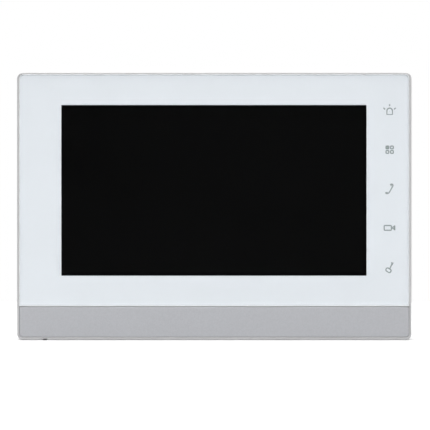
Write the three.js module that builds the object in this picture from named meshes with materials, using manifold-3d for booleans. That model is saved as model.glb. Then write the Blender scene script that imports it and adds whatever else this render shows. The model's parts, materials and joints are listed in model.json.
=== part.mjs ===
// Wall-mounted video intercom monitor, in millimetres.
// +X is to the right of someone facing the screen, +Z is up and +Y points into the wall.
// The origin is on the wall, at the middle of the front's outline, so the front faces -Y.
import * as THREE from 'three';
import { mergeVertices } from 'three/addons/utils/BufferGeometryUtils.js';
import Module from 'manifold-3d';

const wasm = await Module();
wasm.setup();

// ---------------------------------------------------------------- driving dimensions

// The part of the display that shows through the print, and the borders round it.
const VIEW = { width: 155.0, height: 86.7 };
const BORDER = { left: 22.3, right: 22.7, top: 16.25, bottom: 15.25 };

// The moulded front frame. proud is how far its rim stands in front of the lens.
const FRAME = {
  corner: 3.0, rimSide: 1.2, rimTop: 0.8, rimBottom: 1.3, proud: 0.1, edge: 0.5,
  wall: 2.0, floor: 1.6, sideDepth: 13.0,
};
const LENS = { thickness: 1.8 };
const MASK = { thickness: 0.15, inset: 0.3 };
const ADHESIVE = { thickness: 0.2, inset: 1.5 };
const STRIP = { height: 15.2, groove: 0.6, sideGap: 0.35, corner: 0.5, edge: 0.25 };

// The display module, as borders round the view, and its foam gasket.
// drop is how far the module sits below the view's middle.
const LCD = {
  sideBorder: 5.0, endBorder: 6.65, thickness: 3.5, drop: 0.95, sheet: 0.3, lap: 0.6,
  glass: 1.3, corner: 0.5,
};
const GASKET = { thickness: 0.4, width: 3.0, inset: 1.0 };

// Five touch keys in a column, with a lamp behind each.
const KEYS = {
  count: 5, pitch: 20.0, fromRight: 11.2, raise: 0.65,
  boardWidth: 9.0, boardThickness: 1.0, boardCorner: 0.8, endMargin: 7.0, light: 1.5,
  lampWidth: 3.2, lampHeight: 1.6, lampThickness: 1.4,
};

const SUPPORT = {
  thickness: 0.6, sideInset: 2.5, corner: 2.0, earWidth: 9.0, earReach: 6.6, earCorner: 1.0,
  screwSpan: 120.0,
};
// The main board, placed by its distance to the housing's sides and top.
const BOARD = {
  thickness: 1.6, fromSide: 19.0, fromTop: 2.7, overJacks: 1.0, screwInset: 6.0, corner: 1.5,
};
const STANDOFF = { length: 2.0, radius: 2.6, bore: 1.5 };

// Screws: pan heads on plain shanks. The bore round a shank takes its radius and a clearance.
const COVER_SCREW = { head: 2.7, headHeight: 1.9, shank: 1.4, length: 7.0 };
const BOARD_SCREW = { head: 2.4, headHeight: 1.7, shank: 1.4, length: 3.9 };
const SUPPORT_SCREW = { head: 2.4, headHeight: 1.5, shank: 1.4, length: 3.6 };
const PAN = { side: 0.6, top: 0.7 }; // a pan head's domed share of its height, and its flat top
const BOSS = { radius: 2.6, edgeDistance: 6.5, skin: 0.4, extraDepth: 0.6 };

// The rear cover: a flange inside the frame's walls, and a housing that stands back from it.
const REAR = { wall: 1.8, flange: 1.6, inset: 11.0, corner: 4.0, edge: 1.5 };
const BAY = { width: 84.0, height: 32.7, floor: 1.6, depth: 13.1, corner: 1.0 };
const VENT = { width: 1.8, height: 14.0, pitch: 4.0, count: 7, fromSide: 19.0, fromTop: 14.0 };
const LABEL = {
  width: 24.0, height: 44.0, thickness: 0.1, fromSide: 16.0, centre: 2.0, corner: 1.5,
};

// Sockets stand on the main board with their mouths facing down into the connector bay.
// cavityUp is the space between the board and the socket's hollow.
const JACK = {
  name: 'network_jack', x: -26.0, width: 15.2, height: 11.2, length: 15.5,
  cavityWidth: 11.8, cavityHeight: 8.3, cavityDepth: 12.5, cavityUp: 1.2,
};
const POWER = {
  name: 'power_socket', x: -7.0, width: 12.0, height: 8.6, length: 12.0,
  cavityWidth: 10.2, cavityHeight: 6.6, cavityDepth: 9.0, cavityUp: 1.0,
};
const ALARM = {
  name: 'alarm_socket', x: 20.0, width: 30.0, height: 8.6, length: 12.0,
  cavityWidth: 28.4, cavityHeight: 6.6, cavityDepth: 9.0, cavityUp: 1.0,
};

const SHIELD = {
  x: 10.0, z: 25.0, width: 38.0, height: 30.0, thickness: 3.0, sheet: 0.5, corner: 1.0,
};
const INDUCTOR = { x: -20.0, z: 32.0, side: 8.0, thickness: 4.0, corner: 1.0, edge: 0.3 };
const CAPACITOR = {
  fromEdge: 13.0, z: 30.0, radius: 3.2, height: 8.0, base: 0.6, waist: 0.92, edge: 0.4,
};
const RESET = {
  fromEdge: 15.0, overEdge: 6.9, side: 6.0, height: 3.5, corner: 0.6,
  plunger: 1.7, plungerLength: 1.9, seat: 1.2, travel: 0.3, pinhole: 1.1,
};
// Flat cables. solder is how far an end lies over the board that it is soldered to.
const RIBBON = { thickness: 0.3, displayWidth: 30.0, touchWidth: 8.0, bend: 3.0, solder: 4.0 };

// The loudspeaker faces back. fromSide and fromBottom place it in the housing.
const SPEAKER = {
  radius: 18.0, rim: 1.8, height: 5.0, floor: 0.8, fromSide: 23.5, fromBottom: 21.2,
  cone: 15.4, coneLip: 2.0, coneDepth: 2.6, coneWall: 0.5, travel: 0.5, gasket: 0.5,
  domeHeight: 1.2, domeShoulder: 0.9, domeShoulderAt: 0.6,
  coil: 6.2, coilWall: 0.6, coilLength: 2.4,
  yoke: 9.0, yokeWall: 1.4, yokeHeight: 3.6, yokeBase: 1.2, pole: 5.4,
  rib: 1.2, ribHeight: 3.0, slot: 1.6, slotPitch: 4.0, slotCount: 7, slotReach: 14.0,
};

// The microphone stands in a rubber boot on the frame's bottom wall.
const MIC = {
  fromLeft: 14.2, radius: 2.5, height: 2.4, bootWall: 0.7, bootLip: 0.8,
  hole: 0.8, notchWidth: 2.0, notchDepth: 0.6,
};
const LEAD = { radius: 0.5, sides: 8, step: 4.0 };

// The wall bracket: a steel plate with four upward hooks.
// Its top and bottom are placed from the housing's, and its window from the bay's top.
const BRACKET = {
  thickness: 1.2, width: 110.0, fromTop: 8.7, fromBottom: 2.7, corner: 6.0,
  windowWidth: 60.0, windowHeight: 23.5, underBay: 0.5, windowCorner: 4.0,
  screwHole: 2.25,
};
// The upper row of hooks is placed from the housing's top and the lower from the bay's top.
const HOOK = {
  x: 42.0, fromTop: 28.7, overBay: 16.0, width: 12.0, lip: 8.0, lift: 9.0, play: 1.0,
};
// Pairs of wall holes, as half the spacing. The middle pair fits a wall box of 60 mm.
const WALL_HOLE = { top: 24.0, middle: 30.0, bottom: 43.0, fromTop: 8.0, fromBottom: 12.0 };

// Clearances.
const GAP = {
  film: 0.05,       // between stacked sheets
  panel: 0.1,       // between the rim and what lies inside it
  lcd: 0.4,         // round the display module
  part: 0.3,        // between parts that stand side by side
  hang: 0.3,        // between the bracket and the rear cover
  jack: 0.5,        // between the tallest socket and the cover's inside
  port: 0.4,        // round a plug where it passes the bay's wall
  screw: 0.1,       // round a screw's shank
  hookTop: 0.3,     // over a hook's stem
  running: 0.1,     // round what slides
};

// ---------------------------------------------------------------- what follows from them

const WIDTH = BORDER.left + VIEW.width + BORDER.right;
const HEIGHT = BORDER.top + VIEW.height + BORDER.bottom + STRIP.groove + STRIP.height
  + GAP.panel + FRAME.rimBottom;
const X = { left: -WIDTH / 2, right: WIDTH / 2 };
const Z = { bottom: -HEIGHT / 2, top: HEIGHT / 2 };
X.view = X.left + BORDER.left + VIEW.width / 2;
Z.view = Z.top - BORDER.top - VIEW.height / 2;
Z.panelBottom = Z.view - VIEW.height / 2 - BORDER.bottom;
Z.stripTop = Z.panelBottom - STRIP.groove;
Z.lcd = Z.view - LCD.drop;
X.keys = X.right - KEYS.fromRight;
Z.keys = Z.view + KEYS.raise;
const LCD_SIZE = {
  width: VIEW.width + 2 * LCD.sideBorder, height: VIEW.height + 2 * LCD.endBorder,
};

// Depths, from the wall outwards.
const Y = {};
Y.bracketFront = -BRACKET.thickness;
Y.coverBack = Y.bracketFront - GAP.hang;
Y.coverInside = Y.coverBack - REAR.wall;
Y.boardBack = Y.coverInside - GAP.jack - Math.max(JACK.height, POWER.height, ALARM.height);
Y.boardFront = Y.boardBack - BOARD.thickness;
Y.supportBack = Y.boardFront - STANDOFF.length - 2 * GAP.film;
Y.supportFront = Y.supportBack - SUPPORT.thickness;
Y.lcdBack = Y.supportFront - GAP.part;
Y.lcdFront = Y.lcdBack - LCD.thickness;
Y.maskBack = Y.lcdFront - GASKET.thickness - 2 * GAP.film;
Y.maskFront = Y.maskBack - MASK.thickness;
Y.lensBack = Y.maskFront - 2 * GAP.film;
Y.lensFront = Y.lensBack - LENS.thickness;
Y.rimFront = Y.lensFront - FRAME.proud;
Y.floorFront = Y.maskBack + ADHESIVE.thickness + 2 * GAP.film;
Y.floorBack = Y.floorFront + FRAME.floor;
Y.parting = Y.rimFront + FRAME.sideDepth;
Y.flangeFront = Y.parting - REAR.flange;
Y.bayFloor = Y.coverBack - BAY.depth;

// The housing's outside, and the wall over the bay that the sockets stand behind.
const HOUSING = {
  left: X.left + REAR.inset, right: X.right - REAR.inset,
  bottom: Z.bottom + REAR.inset, top: Z.top - REAR.inset,
};
Z.bayTop = HOUSING.bottom + BAY.height;
const SOCKET_FACE = Z.bayTop + REAR.wall + GAP.part;
const MAIN = {
  left: HOUSING.left + BOARD.fromSide, right: HOUSING.right - BOARD.fromSide,
  bottom: SOCKET_FACE + BOARD.overJacks, top: HOUSING.top - BOARD.fromTop,
};
const RESET_AT = { x: MAIN.right - RESET.fromEdge, z: MAIN.bottom + RESET.overEdge };
const SPEAKER_AT = {
  x: HOUSING.left + SPEAKER.fromSide, z: HOUSING.bottom + SPEAKER.fromBottom,
};
const COVER_SCREWS = [-1, 0, 1].flatMap((side) => [-1, 1].map((end) => (
  [side * (WIDTH / 2 - BOSS.edgeDistance), end * (HEIGHT / 2 - BOSS.edgeDistance)]
)));
const SUPPORT_SCREWS = [-1, 1].flatMap((side) => [-1, 1].map((end) => [
  X.view + side * SUPPORT.screwSpan / 2,
  Z.lcd + end * (LCD_SIZE.height / 2 + GAP.lcd + BOSS.radius + GAP.part),
]));
const BOARD_SCREWS = [MAIN.left + BOARD.screwInset, MAIN.right - BOARD.screwInset].flatMap((x) => (
  [MAIN.bottom + BOARD.screwInset, MAIN.top - BOARD.screwInset].map((z) => [x, z])
));
const KEY_HEIGHTS = Array.from({ length: KEYS.count }, (_, i) => (
  Z.keys + ((KEYS.count - 1) / 2 - i) * KEYS.pitch
));
const TOUCH_BOARD = {
  left: X.keys - KEYS.boardWidth / 2, right: X.keys + KEYS.boardWidth / 2,
  bottom: KEY_HEIGHTS.at(-1) - KEYS.endMargin, top: KEY_HEIGHTS[0] + KEYS.endMargin,
};
const MIC_AT = {
  x: X.left + MIC.fromLeft, y: Y.floorBack + MIC.radius + MIC.bootWall + GAP.part,
};
const PLATE = { bottom: HOUSING.bottom + BRACKET.fromBottom, top: HOUSING.top - BRACKET.fromTop };
const HOOK_ROWS = [HOUSING.top - HOOK.fromTop, Z.bayTop + HOOK.overBay];
const WALL_HOLES = [
  [WALL_HOLE.middle, HOOK_ROWS[1]], [WALL_HOLE.top, PLATE.top - WALL_HOLE.fromTop],
  [WALL_HOLE.bottom, PLATE.bottom + WALL_HOLE.fromBottom],
];

// ---------------------------------------------------------------- shapes

const ARC_STEPS = 3;
const EDGE_STEPS = 2;
const ROUND_SIDES = 20;
const SMALL_SIDES = 12;
const SLIVER = 0.01; // the flat left at a slot's round end, so that its arcs stay apart
const PAST = 1; // how far a cutting tool runs past what it cuts

/** A rectangle with rounded corners, as left, right, bottom and top in the X-Z plane.
 *  radii is one radius, or four: bottom left, bottom right, top right, top left. */
function outline(left, right, bottom, top, radii = 0) {
  const corners = Array.isArray(radii) ? radii : [radii, radii, radii, radii];
  const path = new THREE.Shape();
  const ends = [[left, bottom, 1, 1], [right, bottom, -1, 1], [right, top, -1, -1],
    [left, top, 1, -1]];
  ends.forEach(([x, z, inX, inZ], i) => {
    const r = corners[i];
    const start = Math.PI + i * Math.PI / 2;
    if (r > 0) path.absarc(x + inX * r, z + inZ * r, r, start, start + Math.PI / 2);
    else if (i === 0) path.moveTo(x, z);
    else path.lineTo(x, z);
  });
  return path;
}

/** A rounded rectangle about a middle. */
function centred(x, z, width, height, radii = 0) {
  return outline(x - width / 2, x + width / 2, z - height / 2, z + height / 2, radii);
}

/** A round outline, whose sides face as a rod's do. */
function disc(x, z, radius, sides = SMALL_SIDES) {
  return new THREE.Shape(Array.from({ length: sides }, (_, i) => {
    const turn = (2 * Math.PI * i) / sides;
    return new THREE.Vector2(x + radius * Math.cos(turn), z + radius * Math.sin(turn));
  }));
}

/** An X-Z outline with holes, made solid from its back to its front. round rounds both ends' edges. */
function slab(shape, holes, back, front, { round = 0, steps = ARC_STEPS } = {}) {
  const whole = shape.clone();
  whole.holes = holes;
  const geometry = new THREE.ExtrudeGeometry(whole, {
    depth: back - front - 2 * round,
    curveSegments: steps,
    bevelEnabled: round > 0,
    bevelThickness: round,
    bevelSize: round,
    bevelOffset: -round,
    bevelSegments: EDGE_STEPS,
  });
  return geometry.rotateX(Math.PI / 2).translate(0, back - round, 0);
}

/** A box between two limits on each axis. */
function block([x0, x1], [y0, y1], [z0, z1]) {
  return new THREE.BoxGeometry(x1 - x0, y1 - y0, z1 - z0)
    .translate((x0 + x1) / 2, (y0 + y1) / 2, (z0 + z1) / 2);
}

/** A turned solid about an axis along Y at (x, z), from [radius, y] points, anticlockwise. */
function turned(points, x, z, sides = ROUND_SIDES) {
  const profile = points.map(([r, y]) => new THREE.Vector2(r, y));
  return new THREE.LatheGeometry(profile, sides).translate(x, 0, z);
}

/** A plain round rod along Y, from its front to its back. */
function rod(radius, front, back, x, z, sides = SMALL_SIDES) {
  return turned([[0, front], [radius, front], [radius, back], [0, back]], x, z, sides);
}

/** A ring about an axis along Y. */
function ring(inner, outer, front, back, x, z, sides = ROUND_SIDES) {
  const points = [[inner, front], [outer, front], [outer, back], [inner, back], [inner, front]];
  return turned(points, x, z, sides);
}

/** The manifold solid of a closed geometry. */
function toSolid(geometry) {
  const bare = geometry.index ? geometry.toNonIndexed() : geometry.clone();
  bare.deleteAttribute('normal');
  bare.deleteAttribute('uv');
  const merged = mergeVertices(bare, 1e-4);
  const index = merged.index.array;
  const kept = [];
  for (let i = 0; i < index.length; i += 3) {
    const [a, b, c] = [index[i], index[i + 1], index[i + 2]];
    if (a !== b && b !== c && c !== a) kept.push(a, b, c);
  }
  return new wasm.Manifold(new wasm.Mesh({
    numProp: 3,
    vertProperties: new Float32Array(merged.attributes.position.array),
    triVerts: new Uint32Array(kept),
  }));
}

/** The geometry of a manifold solid. */
function toGeometry(solid) {
  const mesh = solid.getMesh();
  const geometry = new THREE.BufferGeometry();
  geometry.setAttribute('position', new THREE.BufferAttribute(mesh.vertProperties, 3));
  geometry.setIndex(new THREE.BufferAttribute(mesh.triVerts, 1));
  geometry.computeVertexNormals();
  return geometry;
}

/** The first geometry joined to the others. */
function joined(first, ...others) {
  return toGeometry(others.reduce((sum, g) => sum.add(toSolid(g)), toSolid(first)));
}

/** The first geometry with the others cut from it. */
function cut(first, ...tools) {
  return toGeometry(tools.reduce((rest, g) => rest.subtract(toSolid(g)), toSolid(first)));
}

const object = new THREE.Group();
object.name = 'video_intercom_monitor';

const FINISH = {
  silver: new THREE.MeshStandardMaterial({ color: 0xbcbcbd, roughness: 0.45, metalness: 0.3 }),
  strip: new THREE.MeshStandardMaterial({ color: 0xb2b3b7, roughness: 0.4, metalness: 0.6 }),
  lens: new THREE.MeshStandardMaterial({
    color: 0xf2f6f6, roughness: 0.05, metalness: 0, transparent: true, opacity: 0.15,
  }),
  white: new THREE.MeshStandardMaterial({ color: 0xe2e7ea, roughness: 0.5, metalness: 0 }),
  black: new THREE.MeshStandardMaterial({ color: 0x0e0d0e, roughness: 0.2, metalness: 0 }),
  foam: new THREE.MeshStandardMaterial({ color: 0x1b1b1c, roughness: 0.95, metalness: 0 }),
  rubber: new THREE.MeshStandardMaterial({ color: 0x222325, roughness: 0.8, metalness: 0 }),
  cover: new THREE.MeshStandardMaterial({ color: 0xd5d7d8, roughness: 0.6, metalness: 0 }),
  steel: new THREE.MeshStandardMaterial({ color: 0xa9adb0, roughness: 0.4, metalness: 0.9 }),
  screw: new THREE.MeshStandardMaterial({ color: 0x9a9da1, roughness: 0.3, metalness: 1 }),
  board: new THREE.MeshStandardMaterial({ color: 0x1f5c38, roughness: 0.5, metalness: 0 }),
  socket: new THREE.MeshStandardMaterial({ color: 0x2c6e4c, roughness: 0.5, metalness: 0 }),
  plastic: new THREE.MeshStandardMaterial({ color: 0x1c1c1e, roughness: 0.5, metalness: 0 }),
  lamp: new THREE.MeshStandardMaterial({ color: 0xf0ead2, roughness: 0.3, metalness: 0 }),
  ribbon: new THREE.MeshStandardMaterial({ color: 0xd8d4c4, roughness: 0.5, metalness: 0 }),
  cone: new THREE.MeshStandardMaterial({ color: 0x2b2b2e, roughness: 0.6, metalness: 0 }),
  copper: new THREE.MeshStandardMaterial({ color: 0xb56a3a, roughness: 0.3, metalness: 1 }),
  label: new THREE.MeshStandardMaterial({ color: 0xd9dbdc, roughness: 0.35, metalness: 0.5 }),
};

/** Adds a named sub-part. */
function add(name, geometry, material) {
  const mesh = new THREE.Mesh(geometry, material);
  mesh.name = name;
  object.add(mesh);
}

// ---------------------------------------------------------------- the front

/** What lies inside the rim: x limits, and corners that follow the frame's. */
function insideRim(gap) {
  return {
    left: X.left + FRAME.rimSide + gap, right: X.right - FRAME.rimSide - gap,
    bottom: Z.bottom + FRAME.rimBottom + gap, top: Z.top - FRAME.rimTop - gap,
    corner: FRAME.corner - FRAME.rimSide,
  };
}

const LCD_HOLE = () => centred(
  X.view, Z.lcd, LCD_SIZE.width + 2 * GAP.lcd, LCD_SIZE.height + 2 * GAP.lcd,
  LCD.corner + GAP.lcd,
);
const TOUCH_HOLE = () => outline(
  TOUCH_BOARD.left - GAP.part, TOUCH_BOARD.right + GAP.part,
  TOUCH_BOARD.bottom - GAP.part, TOUCH_BOARD.top + GAP.part, KEYS.boardCorner + GAP.part,
);

function frontFrame() {
  const rim = insideRim(0);
  const tray = slab(
    outline(X.left, X.right, Z.bottom, Z.top, FRAME.corner), [],
    Y.parting, Y.rimFront, { round: FRAME.edge, steps: 6 },
  );
  const frontPocket = slab(
    outline(rim.left, rim.right, rim.bottom, rim.top, rim.corner), [],
    Y.floorFront, Y.rimFront - PAST,
  );
  const backPocket = slab(
    outline(X.left + FRAME.wall, X.right - FRAME.wall, Z.bottom + FRAME.wall,
      Z.top - FRAME.wall, FRAME.corner - FRAME.wall),
    [], Y.parting + PAST, Y.floorBack,
  );
  const windows = [LCD_HOLE(), TOUCH_HOLE()].map((hole) => (
    slab(hole, [], Y.floorBack + PAST, Y.floorFront - PAST)
  ));
  const coverBosses = COVER_SCREWS.map(([x, z]) => (
    rod(BOSS.radius, Y.floorBack - FRAME.floor / 2, Y.flangeFront - GAP.film, x, z)
  ));
  const supportBosses = SUPPORT_SCREWS.map(([x, z]) => (
    rod(BOSS.radius, Y.floorBack - FRAME.floor / 2, Y.supportFront - GAP.film, x, z)
  ));
  const coverBores = COVER_SCREWS.map(([x, z]) => rod(
    COVER_SCREW.shank + GAP.screw, Y.parting - COVER_SCREW.length - BOSS.extraDepth,
    Y.flangeFront + PAST, x, z,
  ));
  const supportBores = SUPPORT_SCREWS.map(([x, z]) => rod(
    SUPPORT_SCREW.shank + GAP.screw, Y.floorFront + BOSS.skin, Y.supportBack, x, z,
  ));
  const micHole = new THREE.CylinderGeometry(MIC.hole, MIC.hole, 2 * FRAME.wall, SMALL_SIDES)
    .rotateX(Math.PI / 2).translate(MIC_AT.x, MIC_AT.y, Z.bottom + FRAME.wall / 2);
  const micNotch = block(
    [MIC_AT.x - MIC.notchWidth / 2, MIC_AT.x + MIC.notchWidth / 2],
    [Y.rimFront - PAST, MIC_AT.y], [Z.bottom - PAST, Z.bottom + MIC.notchDepth],
  );
  const shell = cut(tray, frontPocket, backPocket, ...windows);
  const withBosses = joined(shell, ...coverBosses, ...supportBosses);
  add('front_frame', cut(withBosses, ...coverBores, ...supportBores, micHole, micNotch),
    FINISH.silver);
}

function frontPanel() {
  const rim = insideRim(GAP.panel);
  const lens = outline(rim.left, rim.right, Z.panelBottom, rim.top,
    [0, 0, rim.corner, rim.corner]);
  add('cover_lens', slab(lens, [], Y.lensBack, Y.lensFront), FINISH.lens);

  const inset = MASK.inset;
  const mask = outline(rim.left + inset, rim.right - inset, Z.panelBottom + inset,
    rim.top - inset, [0, 0, rim.corner, rim.corner]);
  const window = centred(X.view, Z.view, VIEW.width, VIEW.height);
  add('print_mask', slab(mask, [window], Y.maskBack, Y.maskFront), FINISH.white);

  const tape = outline(
    rim.left + ADHESIVE.inset, rim.right - ADHESIVE.inset, Z.panelBottom + ADHESIVE.inset,
    rim.top - ADHESIVE.inset, rim.corner,
  );
  const back = Y.maskBack + GAP.film + ADHESIVE.thickness;
  add('panel_adhesive',
    slab(tape, [LCD_HOLE(), TOUCH_HOLE()], back, Y.maskBack + GAP.film), FINISH.foam);
}

function trimStrip() {
  const rim = insideRim(GAP.panel);
  const strip = outline(
    X.left + FRAME.rimSide + STRIP.sideGap, X.right - FRAME.rimSide - STRIP.sideGap,
    rim.bottom, Z.stripTop, [rim.corner, rim.corner, STRIP.corner, STRIP.corner],
  );
  add('trim_strip',
    slab(strip, [], Y.floorFront - GAP.film, Y.lensFront, { round: STRIP.edge }), FINISH.strip);
}

// ---------------------------------------------------------------- the display

function display() {
  const { sheet, lap, corner } = LCD;
  const { width, height } = LCD_SIZE;
  const windowOutline = (grow) => (
    centred(X.view, Z.view, VIEW.width + 2 * grow, VIEW.height + 2 * grow)
  );
  const outer = centred(X.view, Z.lcd, width, height, corner);
  const gasketFront = Y.maskBack + GAP.film;
  add('lcd_gasket',
    slab(centred(X.view, Z.lcd, width - 2 * GASKET.inset, height - 2 * GASKET.inset, corner),
      [windowOutline(lap + GASKET.width / 2)], gasketFront + GASKET.thickness, gasketFront),
    FINISH.foam);

  const hollow = slab(
    centred(X.view, Z.lcd, width - 2 * sheet, height - 2 * sheet), [],
    Y.lcdBack + PAST, Y.lcdFront + sheet,
  );
  const shell = cut(
    slab(outer, [], Y.lcdBack, Y.lcdFront), hollow,
    slab(windowOutline(lap), [], Y.lcdBack, Y.lcdFront - PAST),
  );
  add('lcd_frame', shell, FINISH.steel);

  const inside = centred(X.view, Z.lcd, width - 2 * sheet - 2 * GAP.part,
    height - 2 * sheet - 2 * GAP.part);
  const glassFront = Y.lcdFront + sheet + GAP.film;
  const glassBack = glassFront + LCD.glass;
  add('lcd_glass', slab(inside, [], glassBack, glassFront), FINISH.black);
  add('lcd_backlight', slab(inside, [], Y.lcdBack, glassBack + GAP.film), FINISH.white);
}

function touchKeys() {
  const front = Y.maskBack + GAP.film;
  const back = front + KEYS.boardThickness;
  const board = outline(TOUCH_BOARD.left, TOUCH_BOARD.right, TOUCH_BOARD.bottom,
    TOUCH_BOARD.top, KEYS.boardCorner);
  const holes = KEY_HEIGHTS.map((z) => disc(X.keys, z, KEYS.light));
  add('touch_key_board', slab(board, holes, back, front), FINISH.board);
  KEY_HEIGHTS.forEach((z, i) => {
    const lamp = centred(X.keys, z, KEYS.lampWidth, KEYS.lampHeight);
    const lampFront = back + GAP.film;
    add(`key_lamp_${i + 1}`, slab(lamp, [], lampFront + KEYS.lampThickness, lampFront),
      FINISH.lamp);
  });
}

// ---------------------------------------------------------------- inside

/** A pan-head screw driven from the back; seat is where the underside of its head rests. */
function screw(name, size, seat, x, z) {
  const back = seat + size.headHeight;
  const front = seat - size.length;
  const points = [
    [0, front], [size.shank, front], [size.shank, seat], [size.head, seat],
    [size.head, back - PAN.side * size.headHeight], [PAN.top * size.head, back], [0, back],
  ];
  add(name, turned(points, x, z, SMALL_SIDES), FINISH.screw);
}

function supportPlate() {
  const { width, height } = LCD_SIZE;
  const main = centred(X.view, Z.lcd, width - 2 * SUPPORT.sideInset, height, SUPPORT.corner);
  const plate = slab(main, [], Y.supportBack, Y.supportFront);
  const ears = SUPPORT_SCREWS.map(([x, z]) => {
    const inwards = Math.sign(Z.lcd - z) * SUPPORT.earReach;
    const low = Math.min(z, z + inwards) - (inwards > 0 ? BOSS.radius : 0);
    const high = Math.max(z, z + inwards) + (inwards < 0 ? BOSS.radius : 0);
    return slab(
      centred(x, (low + high) / 2, SUPPORT.earWidth, high - low, SUPPORT.earCorner),
      [], Y.supportBack, Y.supportFront,
    );
  });
  const holes = [
    ...SUPPORT_SCREWS.map(([x, z]) => [x, z, SUPPORT_SCREW.shank + GAP.screw]),
    ...BOARD_SCREWS.map(([x, z]) => [x, z, STANDOFF.bore]),
  ].map(([x, z, r]) => rod(r, Y.supportFront - PAST, Y.supportBack + PAST, x, z));
  add('lcd_support', cut(joined(plate, ...ears), ...holes), FINISH.steel);
  SUPPORT_SCREWS.forEach(([x, z], i) => (
    screw(`support_screw_${i + 1}`, SUPPORT_SCREW, Y.supportBack + GAP.film, x, z)
  ));
  BOARD_SCREWS.forEach(([x, z], i) => add(
    `board_standoff_${i + 1}`,
    ring(STANDOFF.bore, STANDOFF.radius, Y.supportBack + GAP.film,
      Y.supportBack + GAP.film + STANDOFF.length, x, z, SMALL_SIDES),
    FINISH.screw,
  ));
}

function mainBoard() {
  const holes = BOARD_SCREWS.map(([x, z]) => disc(x, z, BOARD_SCREW.shank + GAP.screw));
  const board = outline(MAIN.left, MAIN.right, MAIN.bottom, MAIN.top, BOARD.corner);
  add('main_board', slab(board, holes, Y.boardBack, Y.boardFront), FINISH.board);
  BOARD_SCREWS.forEach(([x, z], i) => (
    screw(`board_screw_${i + 1}`, BOARD_SCREW, Y.boardBack + GAP.film, x, z)
  ));

  const seat = Y.boardBack + GAP.film;
  const can = slab(
    centred(SHIELD.x, SHIELD.z, SHIELD.width, SHIELD.height, SHIELD.corner), [],
    seat + SHIELD.thickness, seat,
  );
  const canInside = slab(
    centred(SHIELD.x, SHIELD.z, SHIELD.width - 2 * SHIELD.sheet,
      SHIELD.height - 2 * SHIELD.sheet), [],
    seat + SHIELD.thickness - SHIELD.sheet, seat - PAST,
  );
  add('processor_shield', cut(can, canInside), FINISH.steel);
  add('power_inductor',
    slab(centred(INDUCTOR.x, INDUCTOR.z, INDUCTOR.side, INDUCTOR.side, INDUCTOR.corner), [],
      seat + INDUCTOR.thickness, seat, { round: INDUCTOR.edge }),
    FINISH.plastic);
  const { radius, height, base, waist, edge } = CAPACITOR;
  add('filter_capacitor', turned([
    [0, seat], [radius, seat], [radius, seat + base], [waist * radius, seat + 2 * base],
    [radius, seat + 3 * base], [radius, seat + height - edge], [radius - edge, seat + height],
    [0, seat + height],
  ], MAIN.left + CAPACITOR.fromEdge, CAPACITOR.z), FINISH.screw);
}

/** The hollow of a socket, from its mouth upwards, grown by a gap. */
function cavity(socket, grow, low, high) {
  const near = Y.boardBack + GAP.film + socket.cavityUp;
  return block(
    [socket.x - socket.cavityWidth / 2 - grow, socket.x + socket.cavityWidth / 2 + grow],
    [near - grow, near + socket.cavityHeight + grow], [low, high],
  );
}

function sockets() {
  for (const [socket, material] of [
    [JACK, FINISH.plastic], [POWER, FINISH.socket], [ALARM, FINISH.socket],
  ]) {
    const back = Y.boardBack + GAP.film;
    const body = block(
      [socket.x - socket.width / 2, socket.x + socket.width / 2],
      [back, back + socket.height], [SOCKET_FACE, SOCKET_FACE + socket.length],
    );
    const hollow = cavity(socket, 0, SOCKET_FACE - PAST, SOCKET_FACE + socket.cavityDepth);
    add(socket.name, cut(body, hollow), material);
  }
}

function resetSwitch() {
  const seat = Y.boardBack + GAP.film;
  const top = seat + RESET.height;
  const { x, z } = RESET_AT;
  const well = rod(RESET.plunger + GAP.running, top - RESET.seat, top + PAST, x, z);
  const body = slab(centred(x, z, RESET.side, RESET.side, RESET.corner), [], top, seat);
  add('reset_switch', cut(body, well), FINISH.plastic);
  const low = top - RESET.seat + RESET.travel + GAP.running;
  add('reset_plunger',
    rod(RESET.plunger, low, low + RESET.plungerLength, x, z), FINISH.cover);
}

/** A flat ribbon with square bends, whose edge-on path is given in a plane; width is across it. */
function ribbon(points, width) {
  const side = (sign) => points.map((p, i) => {
    const into = p.clone().sub(points[i - 1] ?? p).normalize();
    const out = (points[i + 1] ?? p).clone().sub(p).normalize();
    const along = into.add(out).multiplyScalar((sign * RIBBON.thickness) / 2);
    return new THREE.Vector2(p.x - along.y, p.y + along.x);
  });
  const shape = new THREE.Shape([...side(1), ...side(-1).reverse()]);
  return new THREE.ExtrudeGeometry(shape, { depth: width, bevelEnabled: false });
}

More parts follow.
